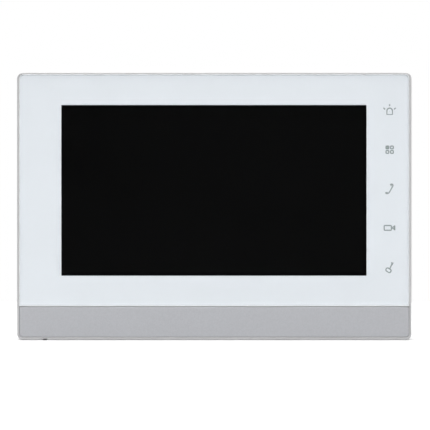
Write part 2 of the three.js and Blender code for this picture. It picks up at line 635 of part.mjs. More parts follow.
function ribbons() {
  const low = Z.lcd - LCD_SIZE.height / 2 - RIBBON.bend;
  const behindLcd = Y.lcdFront + LCD.thickness / 2;
  const atBoard = (Y.supportBack + Y.boardFront) / 2;
  const displayPath = [
    new THREE.Vector2(behindLcd, low + RIBBON.bend - GAP.part),
    new THREE.Vector2(behindLcd, low),
    new THREE.Vector2(atBoard, low),
    new THREE.Vector2(atBoard, MAIN.bottom + RIBBON.solder),
  ];
  // The path's plane is Y-Z, and the width runs along X.
  const display = ribbon(displayPath, RIBBON.displayWidth)
    .applyMatrix4(new THREE.Matrix4().makeBasis(
      new THREE.Vector3(0, 1, 0), new THREE.Vector3(0, 0, 1), new THREE.Vector3(1, 0, 0),
    )).translate(-RIBBON.displayWidth / 2, 0, 0);
  add('display_cable', display, FINISH.ribbon);

  const touchBack = Y.maskBack + GAP.film + KEYS.boardThickness + GAP.part;
  const start = TOUCH_BOARD.left + RIBBON.solder / 2;
  const touchPath = [
    new THREE.Vector2(start, touchBack),
    new THREE.Vector2(start, atBoard),
    new THREE.Vector2(MAIN.right - RIBBON.solder, atBoard),
  ];
  // The path's plane is X-Y, and the width runs along Z between two keys.
  const touch = ribbon(touchPath, RIBBON.touchWidth)
    .translate(0, 0, KEY_HEIGHTS.at(-2) - KEYS.pitch / 2 - RIBBON.touchWidth / 2);
  add('touch_cable', touch, FINISH.ribbon);
}

// ---------------------------------------------------------------- sound

function speaker() {
  const { x, z } = SPEAKER_AT;
  const s = SPEAKER;
  const gasketBack = Y.coverInside - GAP.film;
  const gasketFront = gasketBack - s.gasket;
  add('speaker_gasket', ring(s.radius - s.rim, s.radius, gasketFront, gasketBack, x, z),
    FINISH.foam);

  const back = gasketFront - GAP.film;
  const front = back - s.height;
  add('speaker_frame', turned([
    [s.yoke + GAP.screw, front], [s.radius - s.rim, front], [s.radius, front + s.rim],
    [s.radius, back], [s.radius - s.rim, back], [s.radius - s.rim, front + s.rim],
    [s.radius - s.rim - s.floor, front + s.floor], [s.yoke + GAP.screw, front + s.floor],
    [s.yoke + GAP.screw, front],
  ], x, z), FINISH.steel);

  const yokeBack = front + s.floor;
  const yokeFront = yokeBack - s.yokeHeight;
  const inner = s.yoke - s.yokeWall;
  add('speaker_magnet', turned([
    [0, yokeFront], [s.yoke, yokeFront], [s.yoke, yokeBack], [inner, yokeBack],
    [inner, yokeFront + s.yokeBase], [s.pole, yokeFront + s.yokeBase], [s.pole, yokeBack],
    [0, yokeBack],
  ], x, z), FINISH.screw);

  const coneRim = back - s.travel - GAP.part;
  const coneFloor = coneRim - s.coneDepth;
  const dome = s.coil + s.coilWall;
  const shoulder = s.domeShoulderAt * dome;
  add('speaker_cone', turned([
    [0, coneFloor + s.domeHeight], [shoulder, coneFloor + s.domeShoulder], [dome, coneFloor],
    [s.cone - s.coneLip, coneRim - s.coneWall], [s.cone, coneRim - s.coneWall],
    [s.cone, coneRim], [s.cone - s.coneLip - s.coneWall / 2, coneRim],
    [dome, coneFloor + 1.4 * s.coneWall], [shoulder, coneFloor + s.domeShoulder + s.coneWall],
    [0, coneFloor + s.domeHeight + s.coneWall],
  ], x, z), FINISH.cone);
  add('voice_coil', ring(s.coil, dome, coneFloor - GAP.film - s.coilLength,
    coneFloor - GAP.film, x, z), FINISH.copper);
}

function microphone() {
  const { x, y } = MIC_AT;
  const upright = (points) => (
    new THREE.LatheGeometry(points.map(([r, h]) => new THREE.Vector2(r, h)), SMALL_SIDES)
      .rotateX(Math.PI / 2).translate(x, y, Z.bottom + FRAME.wall + GAP.part)
  );
  const outer = MIC.radius + MIC.bootWall;
  const top = MIC.bootLip + MIC.height;
  add('microphone_boot', upright([
    [MIC.hole, 0], [outer, 0], [outer, top], [MIC.radius + GAP.film, top],
    [MIC.radius + GAP.film, MIC.bootLip], [MIC.hole, MIC.bootLip], [MIC.hole, 0],
  ]), FINISH.rubber);
  add('microphone', upright([
    [0, MIC.bootLip + GAP.film], [MIC.radius, MIC.bootLip + GAP.film],
    [MIC.radius, top + GAP.film], [0, top + GAP.film],
  ]), FINISH.screw);
}

/** A round lead along a smooth curve through the given points. */
function lead(name, points) {
  const section = disc(0, 0, LEAD.radius, LEAD.sides);
  const curve = new THREE.CatmullRomCurve3(points.map((p) => new THREE.Vector3(...p)));
  const geometry = new THREE.ExtrudeGeometry(section, {
    steps: Math.round(curve.getLength() / LEAD.step), extrudePath: curve,
  });
  add(name, geometry, FINISH.rubber);
}

function leads() {
  const boardEdge = MAIN.left - LEAD.radius - GAP.part;
  const { x, z } = SPEAKER_AT;
  const side = x - SPEAKER.radius + 2 * SPEAKER.rim;
  const yokeSide = Y.coverInside - SPEAKER.gasket - SPEAKER.height - 2 * GAP.film
    - LEAD.radius - GAP.part;
  lead('speaker_lead', [
    [side, yokeSide, z], [side - 1, yokeSide - 1.5, z + 6], [side, Y.boardBack + 2, z + 12],
    [boardEdge - 4, Y.boardBack + 1, z + 22], [boardEdge, Y.boardBack, z + 32],
    [boardEdge, Y.boardBack, z + 40],
  ]);
  const micTop = Z.bottom + FRAME.wall + 2 * GAP.part + MIC.bootLip + MIC.height + LEAD.radius;
  lead('microphone_lead', [
    [MIC_AT.x, MIC_AT.y, micTop], [MIC_AT.x, MIC_AT.y, micTop + 6],
    [MIC_AT.x + 1, MIC_AT.y + 1, micTop + 18], [boardEdge - 8, Y.boardFront, micTop + 34],
    [boardEdge - 1, Y.boardFront, micTop + 48], [boardEdge - 1, Y.boardFront, micTop + 56],
  ]);
}

// ---------------------------------------------------------------- the rear cover

/** The slots over the loudspeaker, as long as a circle lets them be. */
function speakerSlots() {
  const middle = (SPEAKER.slotCount - 1) / 2;
  return Array.from({ length: SPEAKER.slotCount }, (_, i) => {
    const offset = (i - middle) * SPEAKER.slotPitch;
    const half = Math.sqrt(SPEAKER.slotReach ** 2 - offset ** 2);
    return centred(SPEAKER_AT.x, SPEAKER_AT.z + offset, 2 * half, SPEAKER.slot,
      SPEAKER.slot / 2 - SLIVER);
  });
}

function ventSlots() {
  return [-1, 1].flatMap((side) => {
    const x = side > 0 ? HOUSING.right - VENT.fromSide : HOUSING.left + VENT.fromSide;
    return Array.from({ length: VENT.count }, (_, i) => centred(
      x + (i - (VENT.count - 1) / 2) * VENT.pitch, HOUSING.top - VENT.fromTop,
      VENT.width, VENT.height, VENT.width / 2 - SLIVER,
    ));
  });
}

/** Where a hook passes the cover: open below its stem as far as the cover lifts. */
function hookSlots() {
  return HOOK_ROWS.flatMap((z) => [-1, 1].map((side) => outline(
    side * HOOK.x - HOOK.width / 2 - HOOK.play, side * HOOK.x + HOOK.width / 2 + HOOK.play,
    z - HOOK.lift - HOOK.play, z + BRACKET.thickness + GAP.hookTop, HOOK.play,
  )));
}

/** A floor and three walls let into the cover's back, open to the back and below. */
function connectorTub() {
  const half = BAY.width / 2;
  const outside = block([-half - REAR.wall, half + REAR.wall],
    [Y.bayFloor - BAY.floor, Y.coverBack],
    [HOUSING.bottom + REAR.wall + GAP.part, Z.bayTop + REAR.wall]);
  const pocket = slab(outline(-half, half, HOUSING.bottom, Z.bayTop, BAY.corner), [],
    Y.coverBack + PAST, Y.bayFloor);
  const ports = [JACK, POWER, ALARM].map((socket) => (
    cavity(socket, GAP.port, Z.bayTop - PAST, SOCKET_FACE)
  ));
  add('connector_tub', cut(outside, pocket, ...ports), FINISH.cover);
}

function rearCover() {
  const h = HOUSING;
  const inside = FRAME.wall + GAP.part;
  const housing = slab(outline(h.left, h.right, h.bottom, h.top, REAR.corner), [],
    Y.coverBack, Y.flangeFront, { round: REAR.edge, steps: 4 });
  const flange = slab(
    outline(X.left + inside, X.right - inside, Z.bottom + inside, Z.top - inside,
      FRAME.corner - inside),
    [], Y.parting, Y.flangeFront,
  );
  const hollow = slab(
    outline(h.left + REAR.wall, h.right - REAR.wall, h.bottom + REAR.wall, h.top - REAR.wall,
      REAR.corner - REAR.wall),
    [], Y.coverInside, Y.flangeFront - PAST,
  );
  const half = BAY.width / 2 + REAR.wall + GAP.part;
  const tubOpening = block([-half, half], [Y.coverInside - PAST, Y.coverBack + PAST],
    [h.bottom + REAR.wall, Z.bayTop + REAR.wall + GAP.part]);
  const rib = ring(SPEAKER.radius + GAP.port, SPEAKER.radius + GAP.port + SPEAKER.rib,
    Y.coverInside - SPEAKER.ribHeight, Y.coverInside + REAR.wall / 2, SPEAKER_AT.x, SPEAKER_AT.z);
  const pierced = [...speakerSlots(), ...ventSlots(), ...hookSlots()].map((slot) => (
    slab(slot, [], Y.coverBack + PAST, Y.coverInside - PAST, { steps: 2 })
  ));
  const pinhole = rod(RESET.pinhole, Y.coverInside - PAST, Y.coverBack + PAST,
    RESET_AT.x, RESET_AT.z);
  const screwHoles = COVER_SCREWS.map(([x, z]) => (
    rod(COVER_SCREW.shank + GAP.screw, Y.flangeFront - PAST, Y.parting + PAST, x, z)
  ));
  const shell = cut(joined(housing, flange), hollow);
  add('rear_cover',
    cut(joined(shell, rib), tubOpening, ...pierced, pinhole, ...screwHoles), FINISH.cover);
  COVER_SCREWS.forEach(([x, z], i) => (
    screw(`cover_screw_${i + 1}`, COVER_SCREW, Y.parting + GAP.film, x, z)
  ));
  const label = centred(h.right - LABEL.fromSide, LABEL.centre, LABEL.width, LABEL.height,
    LABEL.corner);
  const labelFront = Y.coverBack + GAP.film;
  add('rating_label', slab(label, [], labelFront + LABEL.thickness, labelFront), FINISH.label);
}

// ---------------------------------------------------------------- the wall bracket

function wallBracket() {
  const { thickness, width } = BRACKET;
  const lipBack = Y.coverInside - 2 * GAP.part;
  const hookFront = lipBack - thickness;
  const plate = slab(
    outline(-width / 2, width / 2, PLATE.bottom, PLATE.top, BRACKET.corner), [],
    0, Y.bracketFront,
  );
  const windowHalf = BRACKET.windowWidth / 2;
  const windowTop = Z.bayTop - BRACKET.underBay;
  const window = outline(-windowHalf, windowHalf, windowTop - BRACKET.windowHeight, windowTop,
    BRACKET.windowCorner);
  const tabLength = -hookFront + HOOK.lip;
  const cuts = [window];
  const hooks = [];
  for (const z of HOOK_ROWS) {
    for (const side of [-1, 1]) {
      const x = side * HOOK.x;
      const stem = block([x - HOOK.width / 2, x + HOOK.width / 2], [hookFront, 0],
        [z, z + thickness]);
      const lip = block([x - HOOK.width / 2, x + HOOK.width / 2], [hookFront, lipBack],
        [z + thickness / 2, z + thickness + HOOK.lip]);
      hooks.push(stem, lip);
      cuts.push(centred(x, z + thickness + tabLength / 2, HOOK.width + 2 * GAP.part, tabLength));
    }
  }
  const screwHoles = WALL_HOLES.flatMap(([x, z]) => [-1, 1].map((side) => (
    disc(side * x, z, BRACKET.screwHole)
  )));
  const tools = [...cuts, ...screwHoles].map((c) => (
    slab(c, [], PAST, Y.bracketFront - PAST)
  ));
  add('wall_bracket', joined(cut(plate, ...tools), ...hooks), FINISH.steel);
}

frontFrame();
frontPanel();
trimStrip();
display();
touchKeys();
supportPlate();
mainBoard();
sockets();
resetSwitch();
ribbons();
speaker();
microphone();
leads();
rearCover();
connectorTub();
wallBracket();

export default object;
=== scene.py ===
# The looks of a wall-mounted video intercom monitor, built round its CAD frame. Metres, +Z up.
import json
import math
from collections import namedtuple

import bmesh
import bpy
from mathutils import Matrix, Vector
from mathutils.geometry import tessellate_polygon


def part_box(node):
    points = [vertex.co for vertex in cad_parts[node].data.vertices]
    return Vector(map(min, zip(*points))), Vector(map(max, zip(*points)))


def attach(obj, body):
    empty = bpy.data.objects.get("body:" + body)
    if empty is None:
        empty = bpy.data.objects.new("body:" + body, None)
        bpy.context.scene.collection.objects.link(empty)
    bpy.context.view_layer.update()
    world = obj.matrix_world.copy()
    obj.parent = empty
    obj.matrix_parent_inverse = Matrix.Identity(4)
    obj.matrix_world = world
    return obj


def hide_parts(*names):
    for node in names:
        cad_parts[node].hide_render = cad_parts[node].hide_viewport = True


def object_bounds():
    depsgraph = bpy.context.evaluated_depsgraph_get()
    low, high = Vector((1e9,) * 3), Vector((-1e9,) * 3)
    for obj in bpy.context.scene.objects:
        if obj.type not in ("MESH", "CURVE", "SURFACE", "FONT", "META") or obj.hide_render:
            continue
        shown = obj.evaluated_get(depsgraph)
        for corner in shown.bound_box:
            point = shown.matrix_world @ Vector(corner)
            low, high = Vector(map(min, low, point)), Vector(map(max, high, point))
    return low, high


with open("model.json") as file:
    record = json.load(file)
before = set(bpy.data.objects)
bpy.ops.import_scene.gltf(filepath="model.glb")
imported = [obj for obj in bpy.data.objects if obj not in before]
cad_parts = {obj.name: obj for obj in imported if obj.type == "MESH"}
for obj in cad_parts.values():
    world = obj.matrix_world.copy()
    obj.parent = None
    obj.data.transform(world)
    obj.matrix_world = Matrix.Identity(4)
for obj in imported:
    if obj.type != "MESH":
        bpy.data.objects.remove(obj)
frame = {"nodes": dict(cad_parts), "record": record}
CAD_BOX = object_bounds()
NODES = frame["nodes"]
BODIES = frame["record"]["behaviour"]["bodies"]
SLOTS = {part["node"]: part["material_slot"] for part in frame["record"]["subparts"]}
MM = 0.001

# ---------------------------------------------------------------- camera

LENS_MM = 160.0
SENSOR_MM = 36.0
VIEW_WIDTH = 218.0 * MM
AIM = (0.35 * MM, -4.4 * MM)  # where the view's middle lies from the object's, x and z
CLIP_START = 10.0 * MM


def make_camera():
    """A long lens straight in front of the object."""
    low, high = CAD_BOX
    data = bpy.data.cameras.new("camera")
    data.lens = LENS_MM
    data.sensor_width = SENSOR_MM
    camera = bpy.data.objects.new("camera", data)
    bpy.context.collection.objects.link(camera)
    distance = VIEW_WIDTH * LENS_MM / SENSOR_MM
    camera.location = (
        (low.x + high.x) / 2 + AIM[0],
        low.y - distance,
        (low.z + high.z) / 2 + AIM[1],
    )
    camera.rotation_euler = (math.radians(90), 0, 0)
    data.clip_start = CLIP_START
    bpy.context.scene.camera = camera


make_camera()

# ---------------------------------------------------------------- shapes

CORNER_STEPS = 10
EDGE_STEPS = 4
SHARP = math.radians(38)
LEAST_RADIUS = 0.02 * MM
MERGE = 0.001 * MM  # vertices closer than this become one
HAIR = 0.01 * MM  # too little to see: keeps faces and corners from falling together
TOUCH = 0.05 * MM  # the gap between pieces that rest on each other
PAST = 1.0 * MM  # how far a cutter reaches past what it cuts

Rect = namedtuple("Rect", "left right bottom top radii")


def rect(left, right, bottom, top, radii=0.0):
    """A rounded rectangle in X-Z. radii is one radius or four, anticlockwise from bottom left."""
    four = tuple(radii) if isinstance(radii, (tuple, list)) else (radii,) * 4
    return Rect(left, right, bottom, top, four)


def about(x, z, width, height, radii=0.0):
    return rect(x - width / 2, x + width / 2, z - height / 2, z + height / 2, radii)


def front_rect(node, radii=0.0):
    """The outline of a CAD node as seen from the front."""
    low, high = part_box(node)
    return rect(low.x, high.x, low.z, high.z, radii)


def inset(r, d):
    """The same outline moved in by d, or out where d is negative."""
    radii = tuple(max(radius - d, 0.0) for radius in r.radii)
    return Rect(r.left + d, r.right - d, r.bottom + d, r.top - d, radii)


def angles(start, end, steps):
    """Angles in equal steps from start to end, which are in degrees."""
    return [math.radians(start + (end - start) * i / steps) for i in range(steps + 1)]


def arc(x, z, radius, start, end, steps=10):
    """Points along an arc, in degrees anticlockwise from +X."""
    return [(x + radius * math.cos(t), z + radius * math.sin(t)) for t in angles(start, end, steps)]


def turned_by(points, degrees):
    turn = math.radians(degrees)
    cos, sin = math.cos(turn), math.sin(turn)
    return [(x * cos - z * sin, x * sin + z * cos) for x, z in points]


def outline(r, steps=CORNER_STEPS):
    """The outline's points, anticlockwise from the bottom left corner."""
    corners = [
        (r.left, r.bottom, 1, 1),
        (r.right, r.bottom, -1, 1),
        (r.right, r.top, -1, -1),
        (r.left, r.top, 1, -1),
    ]
    points = []
    for i, (x, z, in_x, in_z) in enumerate(corners):
        radius = max(r.radii[i], LEAST_RADIUS)
        start = 180 + 90 * i
        points += arc(x + in_x * radius, z + in_z * radius, radius, start, start + 90, steps)
    return points


def circle(x, z, radius, sides=32):
    turns = [2 * math.pi * i / sides for i in range(sides)]
    return [(x + radius * math.cos(t), z + radius * math.sin(t)) for t in turns]


def shade_smooth(obj):
    """Shades smooth apart from the sharp edges, and lets flat faces shade flat."""
    mesh = obj.data
    mesh.polygons.foreach_set("use_smooth", [True] * len(mesh.polygons))
    mesh.set_sharp_from_angle(angle=SHARP)
    weighted = obj.modifiers.new("normals", "WEIGHTED_NORMAL")
    weighted.keep_sharp = True


def new_object(name, mesh, smooth=True):
    obj = bpy.data.objects.new(name, mesh)
    bpy.context.collection.objects.link(obj)
    if smooth:
        shade_smooth(obj)
    return obj


def to_mesh(name, bm):
    bmesh.ops.remove_doubles(bm, verts=bm.verts, dist=MERGE)
    bmesh.ops.recalc_face_normals(bm, faces=bm.faces)
    mesh = bpy.data.meshes.new(name)
    bm.to_mesh(mesh)
    bm.free()
    return mesh


def piece(name, bm):
    """A smooth object made from bm, which is used up."""
    return new_object(name, to_mesh(name, bm))


def add_skin(bm, rows):
    """Joins each closed row of vertices to the next."""
    for one, two in zip(rows, rows[1:]):
        for i in range(len(one)):
            j = (i + 1) % len(one)
            bm.faces.new((one[i], one[j], two[j], two[i]))


def add_rings(bm, rings):
    """Joins rings, each a list of (x, z) points and their y, and returns their vertices."""
    made = [[bm.verts.new((x, y, z)) for x, z in points] for points, y in rings]
    add_skin(bm, made)
    return made


def add_cap(bm, loops, across="x"):
    """Fills a flat face between an outer loop of vertices and its holes, across "x" or "y"."""
    points = [[Vector((getattr(v.co, across), v.co.z, 0)) for v in loop] for loop in loops]
    flat = [v for loop in loops for v in loop]
    for a, b, c in tessellate_polygon(points):
        if len({flat[a], flat[b], flat[c]}) == 3:
            bm.faces.new((flat[a], flat[b], flat[c]))


def add_closed(bm, rings):
    """Joins rings and fills the first and the last."""
    made = add_rings(bm, rings)
    add_cap(bm, [made[0]])
    add_cap(bm, [made[-1]])


def add_block(bm, xs, ys, zs):
    (x0, x1), (z0, z1) = xs, zs
    ring = [(x0, z0), (x1, z0), (x1, z1), (x0, z1)]
    add_closed(bm, [(ring, y) for y in ys])


def front_edge(front, radius, steps=EDGE_STEPS):
    """(inset, y) pairs round a front edge, from its face to its side."""
    return [(radius * (1 - math.sin(t)), front + radius * (1 - math.cos(t)))
            for t in angles(0, 90, steps)]


def back_edge(back, radius, steps=EDGE_STEPS):
    """(inset, y) pairs round a back edge, from its side to its face."""
    return [(radius * (1 - math.cos(t)), back - radius * (1 - math.sin(t)))
            for t in angles(0, 90, steps)]


def add_plate(bm, outer, holes, back, front, edge, near_edge=None):
    """A plate with rounded edges. outer and each hole are functions from an inset to points."""
    steps = front_edge(front, edge if near_edge is None else near_edge) + back_edge(back, edge)
    rings = [add_rings(bm, [(outer(d), y) for d, y in steps])]
    rings += [add_rings(bm, [(hole(-d), y) for d, y in steps]) for hole in holes]
    for end in (0, -1):
        add_cap(bm, [ring[end] for ring in rings])


def rounded(r, steps=CORNER_STEPS):
    return lambda d: outline(inset(r, d), steps)


def round_hole(x, z, radius):
    return lambda d: circle(x, z, radius - d)


def plate(name, outer, holes, back, front, edge, near_edge=None):
    bm = bmesh.new()
    add_plate(bm, outer, holes, back, front, edge, near_edge)
    return piece(name, bm)


def turned(name, profile, x, z, sides):
    """A solid turned about an axis along Y from (radius, y) points."""
    bm = bmesh.new()
    rings = []
    for radius, y in profile:
        points = circle(x, z, radius, sides) if radius > 0 else [(x, z)]
        rings.append([bm.verts.new((px, y, pz)) for px, pz in points])
    for one, two in zip(rings, rings[1:]):
        for i in range(sides):
            j = (i + 1) % sides
            corners = [one[i % len(one)], one[j % len(one)], two[j % len(two)], two[i % len(two)]]
            unique = list(dict.fromkeys(corners))
            if len(unique) > 2:
                bm.faces.new(unique)
    return piece(name, bm)


def evaluated_mesh(obj):
    """A new mesh of what an object's modifiers or curve settings make of it."""
    graph = bpy.context.evaluated_depsgraph_get()
    return bpy.data.meshes.new_from_object(obj.evaluated_get(graph))


def combine(obj, bm, operation):
    """Cuts the solids in bm from obj, or joins them on, and uses bm up."""
    tool = new_object("tool", to_mesh("tool", bm), smooth=False)
    obj.modifiers.clear()
    boolean = obj.modifiers.new("combine", "BOOLEAN")
    boolean.operation = operation
    boolean.solver = "EXACT"
    boolean.object = tool
    mesh = evaluated_mesh(obj)
    obj.modifiers.clear()
    obj.data = mesh
    bpy.data.objects.remove(tool)
    shade_smooth(obj)


# ---------------------------------------------------------------- materials

# The stretch of a noise's values over which a pattern goes from its low end to its high end.
COLOUR_BAND = (0.35, 0.65)
ROUGHNESS_BAND = (0.3, 0.7)
MIRROR_SHARE = (0.022, 0.6)  # how much of a mirror the clear panel is, face on and edge on
MIRROR_POWER = 5.0
PANEL_TINT = (0.985, 0.99, 0.992, 1)


def linear(r, g, b):
    """A colour given as it shows on a screen, 0 to 255."""

    def one(v):
        v /= 255
        return v / 12.92 if v <= 0.04045 else ((v + 0.055) / 1.055) ** 2.4

    return (one(r), one(g), one(b), 1.0)


class Surface:
    """A Principled material and the patterns that drive it."""

    def __init__(self, name, colour, roughness, metallic=0.0, **settings):
        self.material = bpy.data.materials.new(name)
        self.material.use_nodes = True
        self.tree = self.material.node_tree
        self.shader = self.tree.nodes["Principled BSDF"]
        self.shader.inputs["Base Color"].default_value = colour
        self.shader.inputs["Roughness"].default_value = roughness
        self.shader.inputs["Metallic"].default_value = metallic
        for socket, value in settings.items():
            self.shader.inputs[socket.replace("_", " ")].default_value = value
        self.colour = colour
        self.bump = None

    def node(self, kind):
        return self.tree.nodes.new(kind)

    def place(self, stretch=(1, 1, 1)):
        """The piece's own coordinates in metres, stretched."""
        where = self.node("ShaderNodeTexCoord")
        mapping = self.node("ShaderNodeMapping")
        mapping.inputs["Scale"].default_value = stretch
        self.tree.links.new(where.outputs["Object"], mapping.inputs["Vector"])
        return mapping.outputs["Vector"]

    def noise(self, scale, detail=3.0, stretch=(1, 1, 1)):
        made = self.node("ShaderNodeTexNoise")
        made.inputs["Scale"].default_value = scale
        made.inputs["Detail"].default_value = detail
        self.tree.links.new(self.place(stretch), made.inputs["Vector"])
        return made.outputs["Fac"]

    def ramp(self, source, *colours):
        """Turns a noise into a drift between two colours."""
        made = self.node("ShaderNodeValToRGB")
        for element, position, colour in zip(made.color_ramp.elements, COLOUR_BAND, colours):
            element.position = position
            element.color = colour
        self.tree.links.new(source, made.inputs["Fac"])
        return made.outputs["Color"]

    def mottled(self, scale, amount, detail=3.0, stretch=(1, 1, 1)):
        """Lets the colour drift by a share of itself either way."""
        low = [c * (1 - amount) for c in self.colour[:3]] + [1.0]
        high = [min(c * (1 + amount), 1.0) for c in self.colour[:3]] + [1.0]
        colour = self.ramp(self.noise(scale, detail, stretch), low, high)
        self.tree.links.new(colour, self.shader.inputs["Base Color"])
        return self

    def uneven(self, scale, low, high, stretch=(1, 1, 1)):
        """Lets the roughness drift between two values."""
        spread = self.node("ShaderNodeMapRange")
        spread.inputs["From Min"].default_value = ROUGHNESS_BAND[0]
        spread.inputs["From Max"].default_value = ROUGHNESS_BAND[1]
        spread.inputs["To Min"].default_value = low
        spread.inputs["To Max"].default_value = high
        self.tree.links.new(self.noise(scale, 3.0, stretch), spread.inputs["Value"])
        self.tree.links.new(spread.outputs["Result"], self.shader.inputs["Roughness"])
        return self

    def grained(self, scale, strength, depth, detail=2.0, stretch=(1, 1, 1)):
        """Adds a bump; a second call lies on the first."""
        made = self.node("ShaderNodeBump")
        made.inputs["Strength"].default_value = strength
        made.inputs["Distance"].default_value = depth
        self.tree.links.new(self.noise(scale, detail, stretch), made.inputs["Height"])
        if self.bump:
            self.tree.links.new(self.bump, made.inputs["Normal"])
        self.bump = made.outputs["Normal"]
        self.tree.links.new(self.bump, self.shader.inputs["Normal"])
        return self


def clear_panel():
    """Clear acrylic: see-through, with a mirror's gloss that grows towards grazing angles."""
    material = bpy.data.materials.new("clear_acrylic")
    material.use_nodes = True
    tree = material.node_tree
    tree.nodes.clear()
    facing = tree.nodes.new("ShaderNodeLayerWeight")
    facing.inputs["Blend"].default_value = 0.5
    steep = tree.nodes.new("ShaderNodeMath")
    steep.operation = "POWER"
    steep.inputs[1].default_value = MIRROR_POWER
    share = tree.nodes.new("ShaderNodeMapRange")
    share.inputs["To Min"].default_value = MIRROR_SHARE[0]
    share.inputs["To Max"].default_value = MIRROR_SHARE[1]
    clear = tree.nodes.new("ShaderNodeBsdfTransparent")
    clear.inputs["Color"].default_value = PANEL_TINT
    gloss = tree.nodes.new("ShaderNodeBsdfAnisotropic")
    gloss.inputs["Roughness"].default_value = 0.03
    mix = tree.nodes.new("ShaderNodeMixShader")
    out = tree.nodes.new("ShaderNodeOutputMaterial")
    link = tree.links.new
    link(facing.outputs["Facing"], steep.inputs[0])
    link(steep.outputs["Value"], share.inputs["Value"])
    link(share.outputs["Result"], mix.inputs["Fac"])
    link(clear.outputs[0], mix.inputs[1])
    link(gloss.outputs[0], mix.inputs[2])
    link(mix.outputs[0], out.inputs["Surface"])
    return material


def moulded_silver():
    surface = Surface("moulded_silver", linear(169, 169, 170), 0.42, Coat_Weight=0.1)
    surface.mottled(60, 0.02).uneven(900, 0.36, 0.48)
    return surface.grained(5200, 0.12, 0.02 * MM).material


def strip_silver():
    surface = Surface("satin_silver_paint", linear(165, 166, 170), 0.38, metallic=0.25)
    surface.mottled(1500, 0.035, detail=4.0).uneven(400, 0.34, 0.44)
    return surface.grained(3800, 0.10, 0.02 * MM).material


def white_print():
    surface = Surface("white_print", linear(216, 219, 223), 0.5)
    return surface.mottled(25, 0.006).grained(2500, 0.03, 0.01 * MM).material


# A painted highlight: a near-white colour for the panel's edge ring, standing in for the light that
# the acrylic's edge catches and carries.
def edge_highlight_paint():
    surface = Surface("painted_edge_highlight", linear(246, 248, 250), 0.35, Coat_Weight=0.3)
    return surface.mottled(90, 0.01).material


def key_ink():
    surface = Surface("grey_ink", linear(130, 140, 139), 0.6)
    return surface.mottled(1200, 0.03).material


def black_display():
    surface = Surface("black_display", linear(5, 5, 5), 0.4, Specular_IOR_Level=0.02)
    return surface.mottled(8, 0.15).uneven(60, 0.3, 0.4).material


def moulded_cover():
    surface = Surface("textured_cover", linear(214, 216, 217), 0.62)
    surface.mottled(35, 0.015).uneven(700, 0.55, 0.7)
    return surface.grained(2600, 0.35, 0.05 * MM, detail=4.0).material


def zinc_sheet():
    surface = Surface("galvanised_sheet", linear(186, 190, 193), 0.36, metallic=0.9)
    surface.mottled(140, 0.09, detail=5.0).uneven(260, 0.26, 0.5)
    return surface.grained(900, 0.08, 0.05 * MM, stretch=(1, 1, 6)).material


def zinc_screw():
    surface = Surface("zinc_plating", linear(176, 178, 181), 0.28, metallic=1.0)
    return surface.mottled(700, 0.06).uneven(1200, 0.2, 0.38).material


def board_green():
    surface = Surface("solder_mask", linear(28, 92, 56), 0.35, Coat_Weight=0.4)
    return surface.mottled(450, 0.2, detail=5.0).grained(1400, 0.2, 0.04 * MM).material


def plain(name, colour, roughness, metallic=0.0, scale=500):
    """A moulded or formed surface with a faint drift of colour and a fine grain."""
    surface = Surface(name, colour, roughness, metallic)
    surface.mottled(scale, 0.05).uneven(scale * 2, roughness * 0.85, min(roughness * 1.15, 1.0))
    return surface.grained(scale * 6, 0.15, 0.03 * MM).material


FINISH = {
    "silver_frame": moulded_silver(),
    "silver_strip": strip_silver(),
    "clear_lens": clear_panel(),
    "white_print": white_print(),
    "foam": plain("black_foam", linear(30, 30, 31), 0.95, scale=900),
    "rubber": plain("black_rubber", linear(34, 35, 37), 0.75),
    "sheet_steel": zinc_sheet(),
    "display_glass": black_display(),
    "light_guide": plain("reflector_white", linear(232, 232, 228), 0.3),
    "circuit_board": board_green(),
    "lamp": plain("lamp_resin", linear(240, 232, 200), 0.3),
    "zinc_screw": zinc_screw(),
    "black_plastic": plain("black_plastic", linear(32, 32, 34), 0.45),
    "socket_green": plain("green_plastic", linear(46, 120, 80), 0.45),
    "ribbon": plain("ribbon_film", linear(214, 210, 196), 0.4),
    "cover_plastic": moulded_cover(),
    "speaker_cone_film": plain("cone_film", linear(44, 44, 48), 0.5),
    "copper": plain("enamelled_copper", linear(184, 108, 62), 0.3, metallic=1.0),
    "label_foil": plain("label_foil", linear(206, 208, 210), 0.38, metallic=0.3, scale=90),
}
INK = key_ink()
# The painted highlight that goes on the clear panel's edge ring.
EDGE = edge_highlight_paint()
GOLD = plain("gold_contact", linear(212, 172, 92), 0.25, metallic=1.0)


def dress(obj, material):
    """Puts one material on every slot of an object."""
    if not obj.material_slots:
        obj.data.materials.append(material)
    for slot in obj.material_slots:
        slot.material = material


def stand_for(obj, node):
    """obj takes a CAD node's place, body and finish."""
    body = next(b for b, members in BODIES.items() if node in members)
    slot = SLOTS[node]
    dress(obj, FINISH[slot])
    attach(obj, body)
    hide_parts(node)


def add_on(obj, body, slot, material=None):
    """obj is a detail that the CAD model doesn't hold."""
    dress(obj, material or FINISH[slot])
    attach(obj, body)


for node_name, node in NODES.items():
    dress(node, FINISH[SLOTS[node_name]])

# ---------------------------------------------------------------- places

FRAME_LOW, FRAME_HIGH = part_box("front_frame")
COVER_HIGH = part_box("rear_cover")[1]
BRACKET_LOW, BRACKET_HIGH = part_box("wall_bracket")
LCD_LOW, LCD_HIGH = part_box("lcd_frame")
PANEL_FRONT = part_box("cover_lens")[0].y
STRIP_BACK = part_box("trim_strip")[1].y

# How far the display module reaches past the view at its sides and ends, and how far it drops.
LCD_BORDER = (5.0 * MM, 6.65 * MM)
LCD_DROP = 0.95 * MM
VIEW_CORNER = 0.3 * MM
VIEW = rect(
    LCD_LOW.x + LCD_BORDER[0],
    LCD_HIGH.x - LCD_BORDER[0],
    LCD_LOW.z + LCD_BORDER[1] + LCD_DROP,
    LCD_HIGH.z - LCD_BORDER[1] + LCD_DROP,
    VIEW_CORNER,
)

